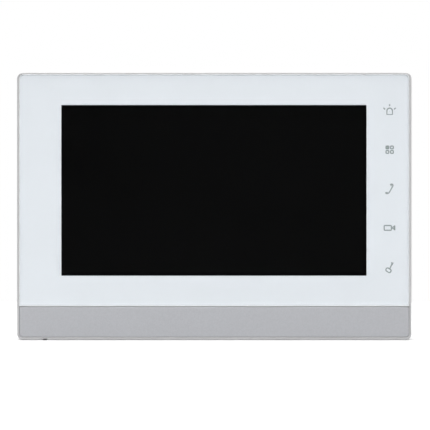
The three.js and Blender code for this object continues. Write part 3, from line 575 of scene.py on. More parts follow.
# The front frame. Its rim's widths are what shows round the panel and the strip.
CORNER = 3.0 * MM
RIM = {"side": 1.1 * MM, "top": 0.65 * MM, "bottom": 1.3 * MM}
INNER_CORNER = CORNER - RIM["side"]
RIM_GAP = 0.08 * MM
RIM_EDGE = 0.3 * MM
LIP_EDGE = 0.12 * MM
PARTING_EDGE = 0.15 * MM
FRAME_WALL = 2.0 * MM
FRAME_FLOOR = 1.6 * MM
PART_CLEAR = 0.3 * MM
LCD_CLEAR = 0.4 * MM
LCD_CORNER, KEY_BOARD_CORNER = 0.9 * MM, 1.1 * MM
BOSS, BOSS_EDGE = 2.6 * MM, 0.2 * MM
BORE, BORE_SIDES = 1.5 * MM, 24
COVER_BORE_DEPTH = 7.6 * MM
BORE_FLOOR = 0.4 * MM  # what a support screw's bore leaves of the floor
MIC_HOLE = 0.8 * MM
MIC_NOTCH = (2.0 * MM, 0.6 * MM)

# The panel, the print behind it, the strip, and the groove between panel and strip.
# The width and rounding of the ring round the panel that bears a painted highlight; the print stops
# short of it.
HIGHLIGHT_RING, RING_ROUND = 0.25 * MM, 0.1 * MM
PANEL_FOOT = 0.2 * MM  # the radius of its bottom corners
PRINT_DEPTH = 1.0 * MM  # how far the print seems to lie behind the panel's face
PRINT_EDGE = 0.02 * MM
STRIP_CORNER = 0.5 * MM
STRIP_EDGES = (0.15 * MM, 0.3 * MM)  # back and front
GROOVE = 0.6 * MM
TONGUE_EDGE = 0.04 * MM

# The rear cover.
COVER_WALL = 1.8 * MM
FLANGE = 1.6 * MM
HOUSING_INSET = 11.0 * MM
HOUSING_CORNER = 4.0 * MM
HOUSING_ROOT = 0.6 * MM
HOUSING_EDGE, HOUSING_STEPS = 1.5 * MM, 6
MOUTH, MOUTH_STEPS = 0.25 * MM, 6  # the chamfer round each opening
BAY = {"width": 84.0 * MM, "height": 32.7 * MM, "depth": 13.1 * MM, "corner": 1.0 * MM}
PORT_CLEAR = 0.4 * MM
VENTS = {"width": 1.8 * MM, "height": 14.0 * MM, "pitch": 4.0 * MM, "count": 7,
         "side": 19.0 * MM, "top": 14.0 * MM}
GRILLE = {"width": 1.6 * MM, "pitch": 4.0 * MM, "count": 7, "reach": 14.0 * MM}
SPEAKER_RING = {"wall": 1.2 * MM, "height": 3.0 * MM, "sides": 64}
PINHOLE = 1.1 * MM
LABEL = {"corner": 1.5 * MM, "margin": 1.2 * MM, "line": 0.35 * MM, "edge": 0.02 * MM,
         "ink": 0.02 * MM, "ink_edge": 0.004 * MM}

# The wall bracket and its hooks, and the slots that they pass.
SHEET, SHEET_EDGE = 1.2 * MM, 0.12 * MM
BEND, BEND_STEPS = 0.9 * MM, 6
BRACKET_CORNER = 6.0 * MM
HOOK = {"x": 42.0 * MM, "width": 12.0 * MM, "lip": 8.0 * MM, "nose": 0.4 * MM, "root": 0.8 * MM,
        "sunk": 0.05 * MM, "lift": 9.0 * MM, "play": 1.0 * MM, "over": 0.3 * MM,
        "slot_corner": 1.0 * MM}
HOOK_UNDER_TOP, HOOK_OVER_BAY = 28.7 * MM, 16.0 * MM
TAB_CLEAR, TAB_CORNER, TAB_STEPS = 0.3 * MM, 0.8 * MM, 6
WINDOW = {"width": 60.0 * MM, "height": 23.5 * MM, "under": 0.5 * MM, "corner": 4.0 * MM}
WALL_HOLE = 2.25 * MM

# The sockets' hollows, which open downwards. base is the wall between a hollow and the board.
Hollow = namedtuple("Hollow", "half_width height depth base")
HOLLOWS = {
    "network_jack": Hollow(5.9 * MM, 8.3 * MM, 12.5 * MM, 1.2 * MM),
    "power_socket": Hollow(5.1 * MM, 6.6 * MM, 9.0 * MM, 1.0 * MM),
    "alarm_socket": Hollow(14.2 * MM, 6.6 * MM, 9.0 * MM, 1.0 * MM),
}

FRONT = front_rect("front_frame", CORNER)
HOUSING = inset(front_rect("front_frame", HOUSING_CORNER + HOUSING_INSET), HOUSING_INSET)
BAY_TOP = HOUSING.bottom + BAY["height"]
HOOK_HEIGHTS = (HOUSING.top - HOOK_UNDER_TOP, BAY_TOP + HOOK_OVER_BAY)
HOOK_PLACES = [(side * HOOK["x"], height) for height in HOOK_HEIGHTS for side in (-1, 1)]

# Pairs of wall holes, as how far out and how high they lie.
WALL_HOLE_PAIRS = (
    (24.0 * MM, BRACKET_HIGH.z - 8.0 * MM),
    (30.0 * MM, HOOK_HEIGHTS[1]),
    (43.0 * MM, BRACKET_LOW.z + 12.0 * MM),
)


def middle(node):
    low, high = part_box(node)
    return (low + high) / 2


def middles(prefix):
    """The middles of numbered nodes, such as cover_screw_1 and on."""
    return [middle(node) for node in sorted(NODES) if node.startswith(prefix)]


# ---------------------------------------------------------------- the front


def frame_tray(floor_front, floor_back):
    """The frame's walls, rim and floor, from the floor's back round the rim to its front."""
    rim_front, parting = FRAME_LOW.y, FRAME_HIGH.y
    cavity = inset(FRONT, FRAME_WALL)
    lip = rect(FRONT.left + RIM["side"], FRONT.right - RIM["side"],
               FRONT.bottom + RIM["bottom"], FRONT.top - RIM["top"], INNER_CORNER)
    chain = [
        (cavity, floor_back),
        (cavity, parting),
        (inset(FRONT, PARTING_EDGE), parting),
        (FRONT, parting - PARTING_EDGE),
    ]
    chain += [(inset(FRONT, d), y) for d, y in reversed(front_edge(rim_front, RIM_EDGE))]
    chain += [
        (inset(lip, -LIP_EDGE), rim_front),
        (lip, rim_front + LIP_EDGE),
        (lip, floor_front),
    ]
    bm = bmesh.new()
    rings = add_rings(bm, [(outline(shape), y) for shape, y in chain])
    lcd_hole = inset(front_rect("lcd_frame", LCD_CORNER), -LCD_CLEAR)
    touch_hole = inset(front_rect("touch_key_board", KEY_BOARD_CORNER), -PART_CLEAR)
    holes = [
        add_rings(bm, [(outline(hole), floor_back), (outline(hole), floor_front)])
        for hole in (lcd_hole, touch_hole)
    ]
    for end in (0, -1):
        add_cap(bm, [rings[end]] + [hole[end] for hole in holes])
    return piece("front_frame_shell", bm)


def add_boss(bm, at, front, back):
    """A post for a screw, with a chamfer at its back."""
    add_closed(bm, [(circle(at.x, at.z, BOSS), front), (circle(at.x, at.z, BOSS), back - BOSS_EDGE),
                    (circle(at.x, at.z, BOSS - BOSS_EDGE), back)])


def add_bore(bm, at, front, back):
    """A cutter for a screw's hole, from the front to past the back."""
    ring = circle(at.x, at.z, BORE, BORE_SIDES)
    add_closed(bm, [(ring, front), (ring, back + PAST)])


def front_frame():
    """A tray with a slim rim, a floor with the display's hole, and screw bosses behind it."""
    floor_front = STRIP_BACK + TOUCH
    floor_back = floor_front + FRAME_FLOOR
    parting = FRAME_HIGH.y
    cover_screws, support_screws = middles("cover_screw_"), middles("support_screw_")
    shell = frame_tray(floor_front, floor_back)

    bm = bmesh.new()
    root = floor_back - FRAME_FLOOR / 2
    for at in cover_screws:
        add_boss(bm, at, root, parting - FLANGE - TOUCH)
    for at in support_screws:
        add_boss(bm, at, root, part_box("lcd_support")[0].y - TOUCH)
    combine(shell, bm, "UNION")

    bm = bmesh.new()
    for at in cover_screws:
        add_bore(bm, at, parting - COVER_BORE_DEPTH, parting)
    for at in support_screws:
        add_bore(bm, at, floor_front + BORE_FLOOR, parting)
    combine(shell, bm, "DIFFERENCE")

    mic = middle("microphone")
    half = MIC_NOTCH[0] / 2
    bm = bmesh.new()
    add_block(bm, (mic.x - half, mic.x + half), (FRAME_LOW.y - PAST, mic.y),
              (FRONT.bottom - PAST, FRONT.bottom + MIC_NOTCH[1]))
    combine(shell, bm, "DIFFERENCE")
    bm = bmesh.new()
    bmesh.ops.create_cone(bm, cap_ends=True, segments=BORE_SIDES, radius1=MIC_HOLE,
                          radius2=MIC_HOLE, depth=4 * FRAME_WALL)
    bmesh.ops.translate(bm, verts=bm.verts, vec=(mic.x, mic.y, FRONT.bottom))
    combine(shell, bm, "DIFFERENCE")
    stand_for(shell, "front_frame")


def filled(node, radii):
    """A front piece's outline, taken out to just short of the rim."""
    shape = front_rect(node, radii)
    reach = FRONT.right - RIM["side"] - RIM_GAP
    top = FRONT.top - RIM["top"] - RIM_GAP if node == "cover_lens" else shape.top
    return shape._replace(left=-reach, right=reach, top=top)


def cover_lens():
    """The clear panel, whose back lies on the print, and a ring round it coloured near white: a
    painted highlight for the light that its edge catches.
    """
    low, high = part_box("cover_lens")
    shape = filled("cover_lens", (PANEL_FOOT, PANEL_FOOT, INNER_CORNER, INNER_CORNER))
    inner = inset(shape, HIGHLIGHT_RING)
    panel = plate("cover_lens_panel", rounded(inner), [], low.y + PRINT_DEPTH, low.y, HAIR)
    stand_for(panel, "cover_lens")
    hole = rounded(inset(inner, -HAIR))
    # The ring is coloured bright as a painted highlight, not in the edge's own colour.
    edge = plate("cover_lens_highlight_ring", rounded(shape), [hole], high.y, low.y, RING_ROUND)
    add_on(edge, "monitor", "clear_lens", EDGE)


def print_mask():
    """White ink with a sharp window over the display."""
    back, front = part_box("print_mask")[1].y, PANEL_FRONT + PRINT_DEPTH + TOUCH
    shape = filled("cover_lens", (0.0, 0.0, INNER_CORNER, INNER_CORNER))
    border = rounded(inset(shape, HIGHLIGHT_RING + 2 * HAIR))
    stand_for(plate("printed_border", border, [rounded(VIEW)], back, front, PRINT_EDGE),
              "print_mask")


def trim_strip():
    low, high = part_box("trim_strip")
    shape = filled("trim_strip", (INNER_CORNER, INNER_CORNER, STRIP_CORNER, STRIP_CORNER))
    stand_for(plate("silver_strip", rounded(shape), [], high.y, low.y, *STRIP_EDGES), "trim_strip")


def groove_tongue():
    """The frame's rib between the panel and the strip, which sets the groove's depth."""
    strip, lens = filled("trim_strip", 0.0), filled("cover_lens", 0.0)
    rib = rounded(rect(strip.left, strip.right, strip.top + TOUCH, lens.bottom - TOUCH))
    tongue = plate("groove_tongue", rib, [], STRIP_BACK, PANEL_FRONT + GROOVE, TONGUE_EDGE)
    add_on(tongue, "monitor", "silver_frame")


# ---------------------------------------------------------------- key symbols

# A symbol is a list of lines, each its points in mm round the key's middle, and whether it is
# closed. Points that would fall on another line's lie a little off it, so the tubes stay apart.
STROKE = 0.3 * MM  # half a printed line's width
INK_DEPTH = 0.02 * MM
PRINT_SHIFT = 0.2 * MM  # how far the print lies to the right of its lamps


def box_line(x, z, width, height, corner):
    """A closed line round a rounded rectangle."""
    return outline(about(x, z, width, height, corner), 4)


def siren():
    """An alarm lamp: a dome on a flat base with a spot in it, under three rays."""
    dome = [(-1.4, -2.15)] + arc(0, -0.3, 1.4, 180, 0) + [(1.4, -2.15)]
    rays = [[(0, 2.1), (0, 3.1)], [(-2.3, 0.4), (-3.2, 1.3)], [(2.2, 0.45), (3.05, 1.2)]]
    spot = [(-0.05, -0.65), (0.05, -0.65)]
    return [(dome, True), (spot, False)] + [(ray, False) for ray in rays]


def menu():
    """Four tiles, of which one is filled."""
    step, side = 1.15, 1.4
    tiles = [(box_line(x, z, side, side, 0.35), True)
             for z in (step, -step) for x in (-step, step)]
    filling = [([(-step - 0.33, step + off), (-step + 0.33, step + off)], False)
               for off in (-0.28, 0.02, 0.27)]
    return tiles + filling


def handset():
    """A slim handset that leans to the right, with its ear hooked and its mouth thick."""
    ear = arc(1.0, 1.85, 0.7, 165, -20, 8)
    mouth = [(-0.2, -1.65), (-0.45, -2.0), (-0.85, -2.25), (-1.55, -2.25), (-2.3, -1.8)]
    thick = [[(-1.9, -1.75), (-0.9, -1.85)], [(0.5, 1.7), (1.1, 2.0)]]
    return [(ear + mouth, False)] + [(line, False) for line in thick]


def camera_symbol():
    """A camera body with a horn to its right."""
    body = box_line(-0.95, 0.3, 3.65, 2.4, 0.4)
    horn = [[(1.35, 0.38), (2.85, 1.45)], [(1.35, 0.26), (2.85, -0.8)],
            [(2.55, 1.1), (2.55, -0.45)]]
    return [(body, True)] + [(line, False) for line in horn]


def key_symbol():
    """A key that leans to the right, with its bow down."""
    bow = [(x - 0.6, z - 1.2) for x, z in turned_by(box_line(0, 0, 2.7, 1.75, 0.7), -33)]
    shaft = [(-0.1, -0.8), (1.3, 2.3)]
    bit = [(0.7, 2.7), (1.35, 2.45), (1.95, 2.4)]
    return [(bow, True), (shaft, False), (bit, False), ([(1.0, 1.75), (1.55, 1.6)], False)]


def printed_mesh(name, lines, at):
    """A symbol's lines as tubes flattened to ink, between the panel and the print."""
    curve = bpy.data.curves.new(name, "CURVE")
    curve.dimensions = "3D"
    curve.bevel_depth = STROKE
    curve.bevel_resolution = 2
    curve.use_fill_caps = True
    for points, closed in lines:
        spline = curve.splines.new("POLY")
        spline.points.add(len(points) - 1)
        spline.use_cyclic_u = closed
        for point, (x, z) in zip(spline.points, points):
            point.co = (at.x + PRINT_SHIFT + x * MM, 0, at.z + z * MM, 1)
    tube = bpy.data.objects.new(name, curve)
    bpy.context.collection.objects.link(tube)
    bm = bmesh.new()
    bm.from_mesh(evaluated_mesh(tube))
    bpy.data.objects.remove(tube)
    mesh = to_mesh(name, bm)
    y = PANEL_FRONT + PRINT_DEPTH + TOUCH / 2
    for vertex in mesh.vertices:
        vertex.co.y = y + vertex.co.y * INK_DEPTH / (2 * STROKE)
    return mesh


def key_icons():
    """Printed symbols on the back of the clear panel, one at each key lamp."""
    symbols = {"siren": siren, "menu": menu, "handset": handset, "camera": camera_symbol,
               "key": key_symbol}
    for (name, lines), at in zip(symbols.items(), middles("key_lamp_")):
        icon = new_object(f"icon_{name}", printed_mesh(name, lines(), at))
        add_on(icon, "monitor", "white_print", INK)


# ---------------------------------------------------------------- screws

SCREW_SIDES = 36
HEAD_HEIGHT = {"cover": 1.9 * MM, "board": 1.7 * MM, "support": 1.5 * MM}
HEAD_FOOT = 0.08 * MM
SHANK = 1.4 * MM
THREAD = {"depth": 0.22 * MM, "pitch": 0.7 * MM, "start": 0.8 * MM, "end": 0.4 * MM}
RECESS = {"reach": 0.5, "half": 0.17, "depth": 0.55}  # shares of the head's radius and height


def cross_outline(x, z, reach, half):
    """A cross recess as a closed outline, anticlockwise."""
    arm = [(reach, -half), (reach, half), (half, half)]
    return [(x + px, z + pz) for turn in range(4) for px, pz in turned_by(arm, 90 * turn)]


def screw(node):
    """A pan-head screw with a cross recess and a threaded shank, in the CAD screw's place."""
    low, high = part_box(node)
    x, z = (low.x + high.x) / 2, (low.z + high.z) / 2
    head = (high.x - low.x) / 2
    height = HEAD_HEIGHT[node.split("_")[0]]
    seat = high.y - height
    core, pitch, start = SHANK - THREAD["depth"], THREAD["pitch"], low.y + THREAD["start"]
    profile = [(0.35 * SHANK, low.y), (core, start)]
    for i in range(int((seat - start - THREAD["end"]) / pitch)):
        y = start + i * pitch
        profile += [(SHANK, y + 0.4 * pitch), (SHANK, y + 0.55 * pitch), (core, y + pitch)]
    profile += [(core, seat), (0.98 * head, seat), (head, seat + HEAD_FOOT)]
    dome = 0.6 * height
    profile += [(head * (0.62 + 0.38 * math.cos(t)), high.y - dome + dome * math.sin(t))
                for t in angles(0, 90, 6)]
    bm = bmesh.new()
    made = add_rings(bm, [(circle(x, z, radius, SCREW_SIDES), y) for radius, y in profile])
    reach, half = RECESS["reach"] * head, RECESS["half"] * head
    recess = add_rings(bm, [
        (cross_outline(x, z, reach, half), high.y),
        (cross_outline(x, z, 0.7 * reach, 0.6 * half), high.y - RECESS["depth"] * height),
    ])
    for loops in ([made[0]], [made[-1], recess[0]], [recess[1]]):
        add_cap(bm, loops)
    stand_for(piece(f"{node}_detailed", bm), node)


# ---------------------------------------------------------------- the rear cover


def add_cutter(bm, shape, front, surface):
    """A cutter through the cover's back wall whose mouth flares to a chamfer."""
    add_closed(bm, [
        (outline(shape, MOUTH_STEPS), front),
        (outline(shape, MOUTH_STEPS), surface - MOUTH),
        (outline(inset(shape, -MOUTH - PAST), MOUTH_STEPS), surface + PAST),
    ])


def offsets(row):
    """Where a row of slots lies, from its middle."""
    return [(i - (row["count"] - 1) / 2) * row["pitch"] for i in range(row["count"])]


def vent_shapes():
    width, z = VENTS["width"], HOUSING.top - VENTS["top"]
    for x in (HOUSING.left + VENTS["side"], HOUSING.right - VENTS["side"]):
        for step in offsets(VENTS):
            yield about(x + step, z, width, VENTS["height"], width / 2 - HAIR)


def grille_shapes():
    """Slots that together fill a round field over the speaker."""
    at, width = middle("speaker_gasket"), GRILLE["width"]
    for step in offsets(GRILLE):
        half = math.sqrt(GRILLE["reach"] ** 2 - step**2)
        yield about(at.x, at.z + step, 2 * half, width, width / 2 - HAIR)


def hook_slot_shapes():
    half = HOOK["width"] / 2 + HOOK["play"]
    for x, z in HOOK_PLACES:
        yield rect(x - half, x + half, z - HOOK["lift"] - HOOK["play"],
                   z + SHEET + HOOK["over"], HOOK["slot_corner"])


def cover_shell(inside):
    """The flange inside the frame and the housing behind it, open to the front."""
    parting = FRAME_HIGH.y
    flange = inset(FRONT, FRAME_WALL + PART_CLEAR)
    hollow = inset(HOUSING, COVER_WALL)
    chain = [
        (hollow, inside),
        (hollow, parting - FLANGE),
        (flange, parting - FLANGE),
        (flange, parting - PARTING_EDGE),
        (inset(flange, PARTING_EDGE), parting),
    ]
    chain += [(inset(HOUSING, -d), y) for d, y in front_edge(parting, HOUSING_ROOT)]
    chain += [(inset(HOUSING, d), y)
              for d, y in back_edge(COVER_HIGH.y, HOUSING_EDGE, HOUSING_STEPS)]
    bm = bmesh.new()
    add_closed(bm, [(outline(shape), y) for shape, y in chain])
    return piece("rear_cover_shell", bm)


def rear_cover():
    """A flange, a housing with a place for the connector tub, a speaker ring and openings."""
    back, parting = COVER_HIGH.y, FRAME_HIGH.y
    inside = back - COVER_WALL
    cover = cover_shell(inside)

    low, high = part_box("speaker_gasket")
    at = middle("speaker_gasket")
    bore = (high.x - low.x) / 2 + PORT_CLEAR
    bm = bmesh.new()
    walls = [
        add_rings(bm, [(circle(at.x, at.z, radius, SPEAKER_RING["sides"]), y)
                       for y in (inside - SPEAKER_RING["height"], inside + COVER_WALL / 2)])
        for radius in (bore + SPEAKER_RING["wall"], bore)
    ]
    for end in (0, 1):
        add_cap(bm, [wall[end] for wall in walls])
    combine(cover, bm, "UNION")

    bm = bmesh.new()
    tub = inset(front_rect("connector_tub"), -PART_CLEAR)
    add_block(bm, (tub.left, tub.right), (inside - PAST, back + PAST), (tub.bottom, tub.top))
    reset = middle("reset_switch")
    pinhole = about(reset.x, reset.z, 2 * PINHOLE, 2 * PINHOLE, PINHOLE - HAIR)
    for shape in [*vent_shapes(), *grille_shapes(), *hook_slot_shapes(), pinhole]:
        add_cutter(bm, shape, inside - PAST, back)
    for at in middles("cover_screw_"):
        add_bore(bm, at, parting - FLANGE - PAST, parting)
    combine(cover, bm, "DIFFERENCE")
    stand_for(cover, "rear_cover")


def connector_tub():
    """A floor and three walls that the sockets open through, with a chamfered mouth."""
    low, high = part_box("connector_tub")
    wall = (high.x - low.x - BAY["width"]) / 2
    bm = bmesh.new()
    add_block(bm, (low.x, high.x), (low.y, high.y), (low.z, high.z))
    tub = piece("connector_tub_shell", bm)
    bm = bmesh.new()
    pocket = rect(low.x + wall, high.x - wall, low.z - 5 * PAST, BAY_TOP, BAY["corner"])
    add_cutter(bm, pocket, high.y - BAY["depth"], high.y)
    combine(tub, bm, "DIFFERENCE")
    bm = bmesh.new()
    for node, hollow in HOLLOWS.items():
        x, near = middle(node).x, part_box(node)[0].y + hollow.base
        reach = hollow.half_width + PORT_CLEAR
        depths = (near - PORT_CLEAR, near + hollow.height + PORT_CLEAR)
        add_block(bm, (x - reach, x + reach), depths, (BAY_TOP - PAST, high.z + PAST))
    combine(tub, bm, "DIFFERENCE")
    stand_for(tub, "connector_tub")


def rating_label():
    """A blank label with a plain printed border."""
    low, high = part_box("rating_label")
    shape = front_rect("rating_label", LABEL["corner"])
    label = plate("blank_label", rounded(shape), [], high.y, low.y, LABEL["edge"])
    stand_for(label, "rating_label")
    line = inset(shape, LABEL["margin"])
    border = plate("label_border", rounded(line), [rounded(inset(line, LABEL["line"]))],
                   high.y + LABEL["ink"], high.y, LABEL["ink_edge"])
    add_on(border, "monitor", "label_foil", INK)


# ---------------------------------------------------------------- the wall bracket


def add_hook(bm, x, z, tip):
    """A tab bent forward from the plate and then up, as a strip swept through two bends."""
    half = HOOK["width"] / 2
    lip_back = tip + SHEET
    top = z + SHEET + HOOK["lip"]
    outer, inner = BEND + SHEET, BEND
    nose, root = HOOK["nose"], z - BEND - HOOK["root"]

    # The strip's section in Y-Z: up the plate's front, under the stem, up the lip, and back.
    # Its root lies within the plate, a little under either face.
    section = [(-SHEET + HOOK["sunk"], root)]
    section += arc(-outer, z - BEND, inner, 0, 90, BEND_STEPS)
    section += arc(tip + outer, z + outer, outer, 270, 180, BEND_STEPS)
    section += [(tip, top - nose), (tip + nose, top), (lip_back - nose, top),
                (lip_back, top - nose)]
    section += arc(tip + outer, z + outer, inner, 180, 270, BEND_STEPS)
    section += arc(-outer, z - BEND, outer, 90, 0, BEND_STEPS)
    section += [(-HOOK["sunk"], root)]
    ends = [[bm.verts.new((x + side * half, y, h)) for y, h in section] for side in (-1, 1)]
    add_skin(bm, ends)
    for end in ends:
        add_cap(bm, [end], across="y")


def wall_bracket():
    """Sheet steel with a cable window, wall holes, tab cut-outs and bent hooks."""
    tip = BRACKET_LOW.y
    shape = rect(BRACKET_LOW.x, BRACKET_HIGH.x, BRACKET_LOW.z, BRACKET_HIGH.z, BRACKET_CORNER)
    top, half = BAY_TOP - WINDOW["under"], WINDOW["width"] / 2
    holes = [rounded(rect(-half, half, top - WINDOW["height"], top, WINDOW["corner"]))]
    half, length = HOOK["width"] / 2 + TAB_CLEAR, SHEET - tip + HOOK["lip"]
    for x, z in HOOK_PLACES:
        tab = rect(x - half, x + half, z - BEND - TAB_CLEAR, z + length, TAB_CORNER)
        holes.append(rounded(tab, TAB_STEPS))
    for x, z in WALL_HOLE_PAIRS:
        holes += [round_hole(side * x, z, WALL_HOLE) for side in (-1, 1)]
    bm = bmesh.new()
    add_plate(bm, rounded(shape), holes, 0.0, -SHEET, SHEET_EDGE)
    for x, z in HOOK_PLACES:
        add_hook(bm, x, z, tip)
    stand_for(piece("wall_bracket_sheet", bm), "wall_bracket")


# ---------------------------------------------------------------- sockets and what is inside


PIN_LENGTH, PIN_SUNK = 6.0 * MM, 0.2 * MM
PIN_TIP = 0.4  # a share of the pin's width
CONTACTS = {"count": 8, "pitch": 1.02 * MM}
CONTACT_WIDTH, CONTACT_THICKNESS = 0.4 * MM, 0.25 * MM
CONE = {"wall": 0.4 * MM, "roll": 1.3 * MM, "rise": 0.5 * MM, "dome": 0.9 * MM, "foot": 0.3 * MM}
CONE_SIDES = 64


def add_bar(bm, sections):
    """A bar through sections, each a list of (x, y) points and their z."""
    rows = [[bm.verts.new((x, y, z)) for x, y in points] for points, z in sections]
    add_skin(bm, rows)
    bm.faces.new(rows[0])
    bm.faces.new(rows[-1])


def box_ring(x0, x1, y0, y1):
    return [(x0, y0), (x1, y0), (x1, y1), (x0, y1)]


def hollow_places(node):
    """A socket's hollow, its middle's x, the y of its wall over the board, and its floor's z."""
    hollow, (low, high) = HOLLOWS[node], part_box(node)
    return hollow, (low.x + high.x) / 2, low.y + hollow.base, low.z + hollow.depth


def pins(name, node, shares, width):
    """Square pins that stand down in a socket's hollow, at shares of its half width."""
    hollow, middle_x, near, floor = hollow_places(node)
    y = near + hollow.height / 2
    tip = floor - PIN_LENGTH
    bm = bmesh.new()
    for share in shares:
        x = middle_x + share * hollow.half_width
        thick, thin = [box_ring(x - half, x + half, y - half, y + half)
                       for half in (width / 2, PIN_TIP * width / 2)]
        add_bar(bm, [(thick, floor + PIN_SUNK), (thick, tip + width), (thin, tip)])
    add_on(piece(name, bm), "monitor", "copper", GOLD)


def jack_contacts():
    """Eight sprung contacts that slope across the network jack's hollow."""
    _, middle_x, near, floor = hollow_places("network_jack")
    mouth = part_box("network_jack")[0].z
    path = [(near + 0.3 * MM, mouth + 1.2 * MM), (near + 0.5 * MM, mouth + 2.5 * MM),
            (near + 2.6 * MM, floor - 2.2 * MM), (near + 2.9 * MM, floor - 0.3 * MM)]
    half = CONTACT_WIDTH / 2
    bm = bmesh.new()
    for step in offsets(CONTACTS):
        x = middle_x + step
        add_bar(bm, [(box_ring(x - half, x + half, y, y + CONTACT_THICKNESS), z) for y, z in path])
    add_on(piece("network_jack_contacts", bm), "monitor", "copper", GOLD)


def speaker_cone():
    """The loudspeaker's cone, with a dome over its coil and a rolled surround."""
    low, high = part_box("speaker_cone")
    coil_low, coil_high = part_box("voice_coil")
    at = middle("speaker_cone")
    outer, coil = (high.x - low.x) / 2, (coil_high.x - coil_low.x) / 2
    rim, floor = high.y, low.y
    wall, roll, rise = CONE["wall"], CONE["roll"], CONE["rise"]
    dome = [(coil * math.cos(t), floor + CONE["dome"] * math.sin(t)) for t in angles(0, 90, 6)]
    surround = [(outer - roll + roll * math.cos(t), rim - rise + rise * math.sin(t))
                for t in angles(0, 180, 8)]
    back = [(0.0, dome[-1][1] + wall)] + [(r, y + wall) for r, y in reversed(dome[:-1])]
    back += [(outer - 2 * roll - wall, rim - wall)] + surround[::-1]
    front = [(outer, rim - rise - wall), (outer - 2 * roll, rim - rise - wall), (coil, floor),
             (0.8 * coil, floor + CONE["foot"]), (0.0, floor + CONE["dome"])]
    profile = front[::-1] + back[::-1]
    cone = turned("speaker_cone_formed", profile, at.x, at.z, CONE_SIDES)
    stand_for(cone, "speaker_cone")


# ---------------------------------------------------------------- the CAD pieces that show

WELD = 0.002 * MM
FLAT = math.radians(0.5)
CAD_EDGE = 0.1 * MM


def smooth_group():
    """A modifier's node group that shades smooth across every edge but the sharp ones."""
    group = bpy.data.node_groups.new("smooth_by_angle", "GeometryNodeTree")
    group.interface.new_socket("Geometry", in_out="INPUT", socket_type="NodeSocketGeometry")
    group.interface.new_socket("Geometry", in_out="OUTPUT", socket_type="NodeSocketGeometry")
    start = group.nodes.new("NodeGroupInput")
    end = group.nodes.new("NodeGroupOutput")
    angle = group.nodes.new("GeometryNodeInputMeshEdgeAngle")
    soft = group.nodes.new("FunctionNodeCompare")
    soft.operation = "LESS_THAN"
    soft.inputs[1].default_value = SHARP
    faces = group.nodes.new("GeometryNodeSetShadeSmooth")
    edges = group.nodes.new("GeometryNodeSetShadeSmooth")
    edges.domain = "EDGE"
    group.links.new(start.outputs[0], faces.inputs["Geometry"])
    group.links.new(faces.outputs["Geometry"], edges.inputs["Geometry"])
    group.links.new(angle.outputs["Unsigned Angle"], soft.inputs[0])
    group.links.new(soft.outputs[0], edges.inputs["Shade Smooth"])
    group.links.new(edges.outputs["Geometry"], end.inputs[0])
    return group


def refine(node, group):
    """Rounds a CAD node's sharp edges a little and shades it smooth between them."""
    obj = NODES[node]
    weld = obj.modifiers.new("weld", "WELD")
    weld.merge_threshold = WELD
    flat = obj.modifiers.new("flat", "DECIMATE")
    flat.decimate_type = "DISSOLVE"
    flat.angle_limit = FLAT
    edge = obj.modifiers.new("edge", "BEVEL")
    edge.width = CAD_EDGE
    edge.segments = 2
    edge.limit_method = "ANGLE"
    edge.angle_limit = SHARP
    edge.use_clamp_overlap = False
    smooth = obj.modifiers.new("smooth", "NODES")
    smooth.node_group = group
    weighted = obj.modifiers.new("normals", "WEIGHTED_NORMAL")
    weighted.keep_sharp = True


front_frame()
cover_lens()
print_mask()
trim_strip()
groove_tongue()
key_icons()
for node_name in NODES:
    if "screw" in node_name:
        screw(node_name)
rear_cover()
connector_tub()
rating_label()
wall_bracket()
pins("power_pins", "power_socket", (-0.45, 0.45), 1.0 * MM)
pins("alarm_pins", "alarm_socket", [(i - 3.5) * 0.24 for i in range(8)], 0.7 * MM)
jack_contacts()
speaker_cone()
SMOOTH = smooth_group()
for node_name in NODES:
    refine(node_name, SMOOTH)

# ---------------------------------------------------------------- light and floor

FLOOR_HALF = 0.42
FLOOR_GAP = 0.2 * MM

# Each lamp's name, place, size and power, in metres and watts.
LAMPS = (
    ("top_soft", (0.0, -0.15, 1.2), (1.1, 0.9), 16),
    ("top_near", (0.0, -0.60, 0.35), (0.30, 0.2), 1.6),
    ("front_left", (-0.9, -1.2, 0.8), (0.7, 0.7), 0.9),
    ("front_right", (0.9, -1.2, 0.8), (0.7, 0.7), 3.0),
    ("back_soft", (-0.5, 1.2, 0.9), (0.9, 0.7), 9),
)
WORLD_LIGHT = 0.34
WORLD_GLOSS = (0.03, 0.42)  # what a mirror shows straight in front of the object, and elsewhere
GLOSS_EDGE = (-0.99, -0.75)  # the Y of directions between the two


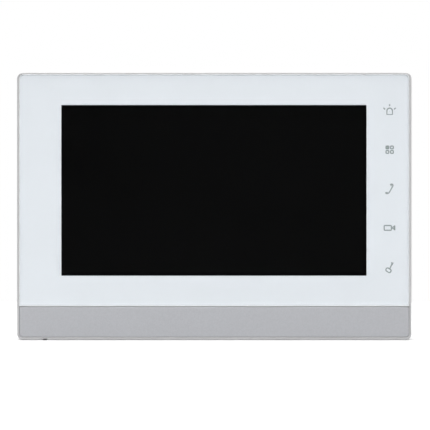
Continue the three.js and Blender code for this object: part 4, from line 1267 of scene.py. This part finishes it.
def make_floor():
    """A plain pale plane just under the object."""
    low, high = CAD_BOX
    bm = bmesh.new()
    bmesh.ops.create_grid(bm, x_segments=1, y_segments=1, size=FLOOR_HALF)
    floor = new_object("floor", to_mesh("floor", bm), smooth=False)
    floor.location = ((low.x + high.x) / 2, low.y, low.z - FLOOR_GAP)
    surface = Surface("pale_floor", linear(250, 250, 250), 0.9)
    dress(floor, surface.mottled(3, 0.01).material)


def make_lamp(name, place, size, power):
    """A soft rectangular lamp that faces the object."""
    data = bpy.data.lights.new(name, "AREA")
    data.shape = "RECTANGLE"
    data.size, data.size_y = size
    data.energy = power
    lamp = bpy.data.objects.new(name, data)
    bpy.context.collection.objects.link(lamp)
    lamp.location = place
    lamp.rotation_euler = (-Vector(place)).to_track_quat("-Z", "Y").to_euler()


def make_world():
    """Even light, white where the camera sees it, and dark where the flat front mirrors it."""
    world = bpy.data.worlds.new("studio")
    bpy.context.scene.world = world
    world.use_nodes = True
    tree = world.node_tree
    tree.nodes.clear()
    path = tree.nodes.new("ShaderNodeLightPath")
    where = tree.nodes.new("ShaderNodeTexCoord")
    split = tree.nodes.new("ShaderNodeSeparateXYZ")
    dark = tree.nodes.new("ShaderNodeMapRange")
    dark.inputs["From Min"].default_value, dark.inputs["From Max"].default_value = GLOSS_EDGE
    dark.inputs["To Min"].default_value, dark.inputs["To Max"].default_value = WORLD_GLOSS
    lit = tree.nodes.new("ShaderNodeMix")
    lit.inputs["A"].default_value = WORLD_LIGHT
    seen = tree.nodes.new("ShaderNodeMix")
    seen.inputs["B"].default_value = 1.0
    back = tree.nodes.new("ShaderNodeBackground")
    back.inputs["Color"].default_value = (1, 1, 1, 1)
    out = tree.nodes.new("ShaderNodeOutputWorld")
    link = tree.links.new
    link(where.outputs["Generated"], split.inputs[0])
    link(split.outputs["Y"], dark.inputs["Value"])
    link(path.outputs["Is Glossy Ray"], lit.inputs["Factor"])
    link(dark.outputs["Result"], lit.inputs["B"])
    link(path.outputs["Is Camera Ray"], seen.inputs["Factor"])
    link(lit.outputs["Result"], seen.inputs["A"])
    link(seen.outputs["Result"], back.inputs["Strength"])
    link(back.outputs[0], out.inputs["Surface"])


make_floor()
make_world()
for lamp_settings in LAMPS:
    make_lamp(*lamp_settings)
bpy.context.scene.view_settings.view_transform = "Standard"
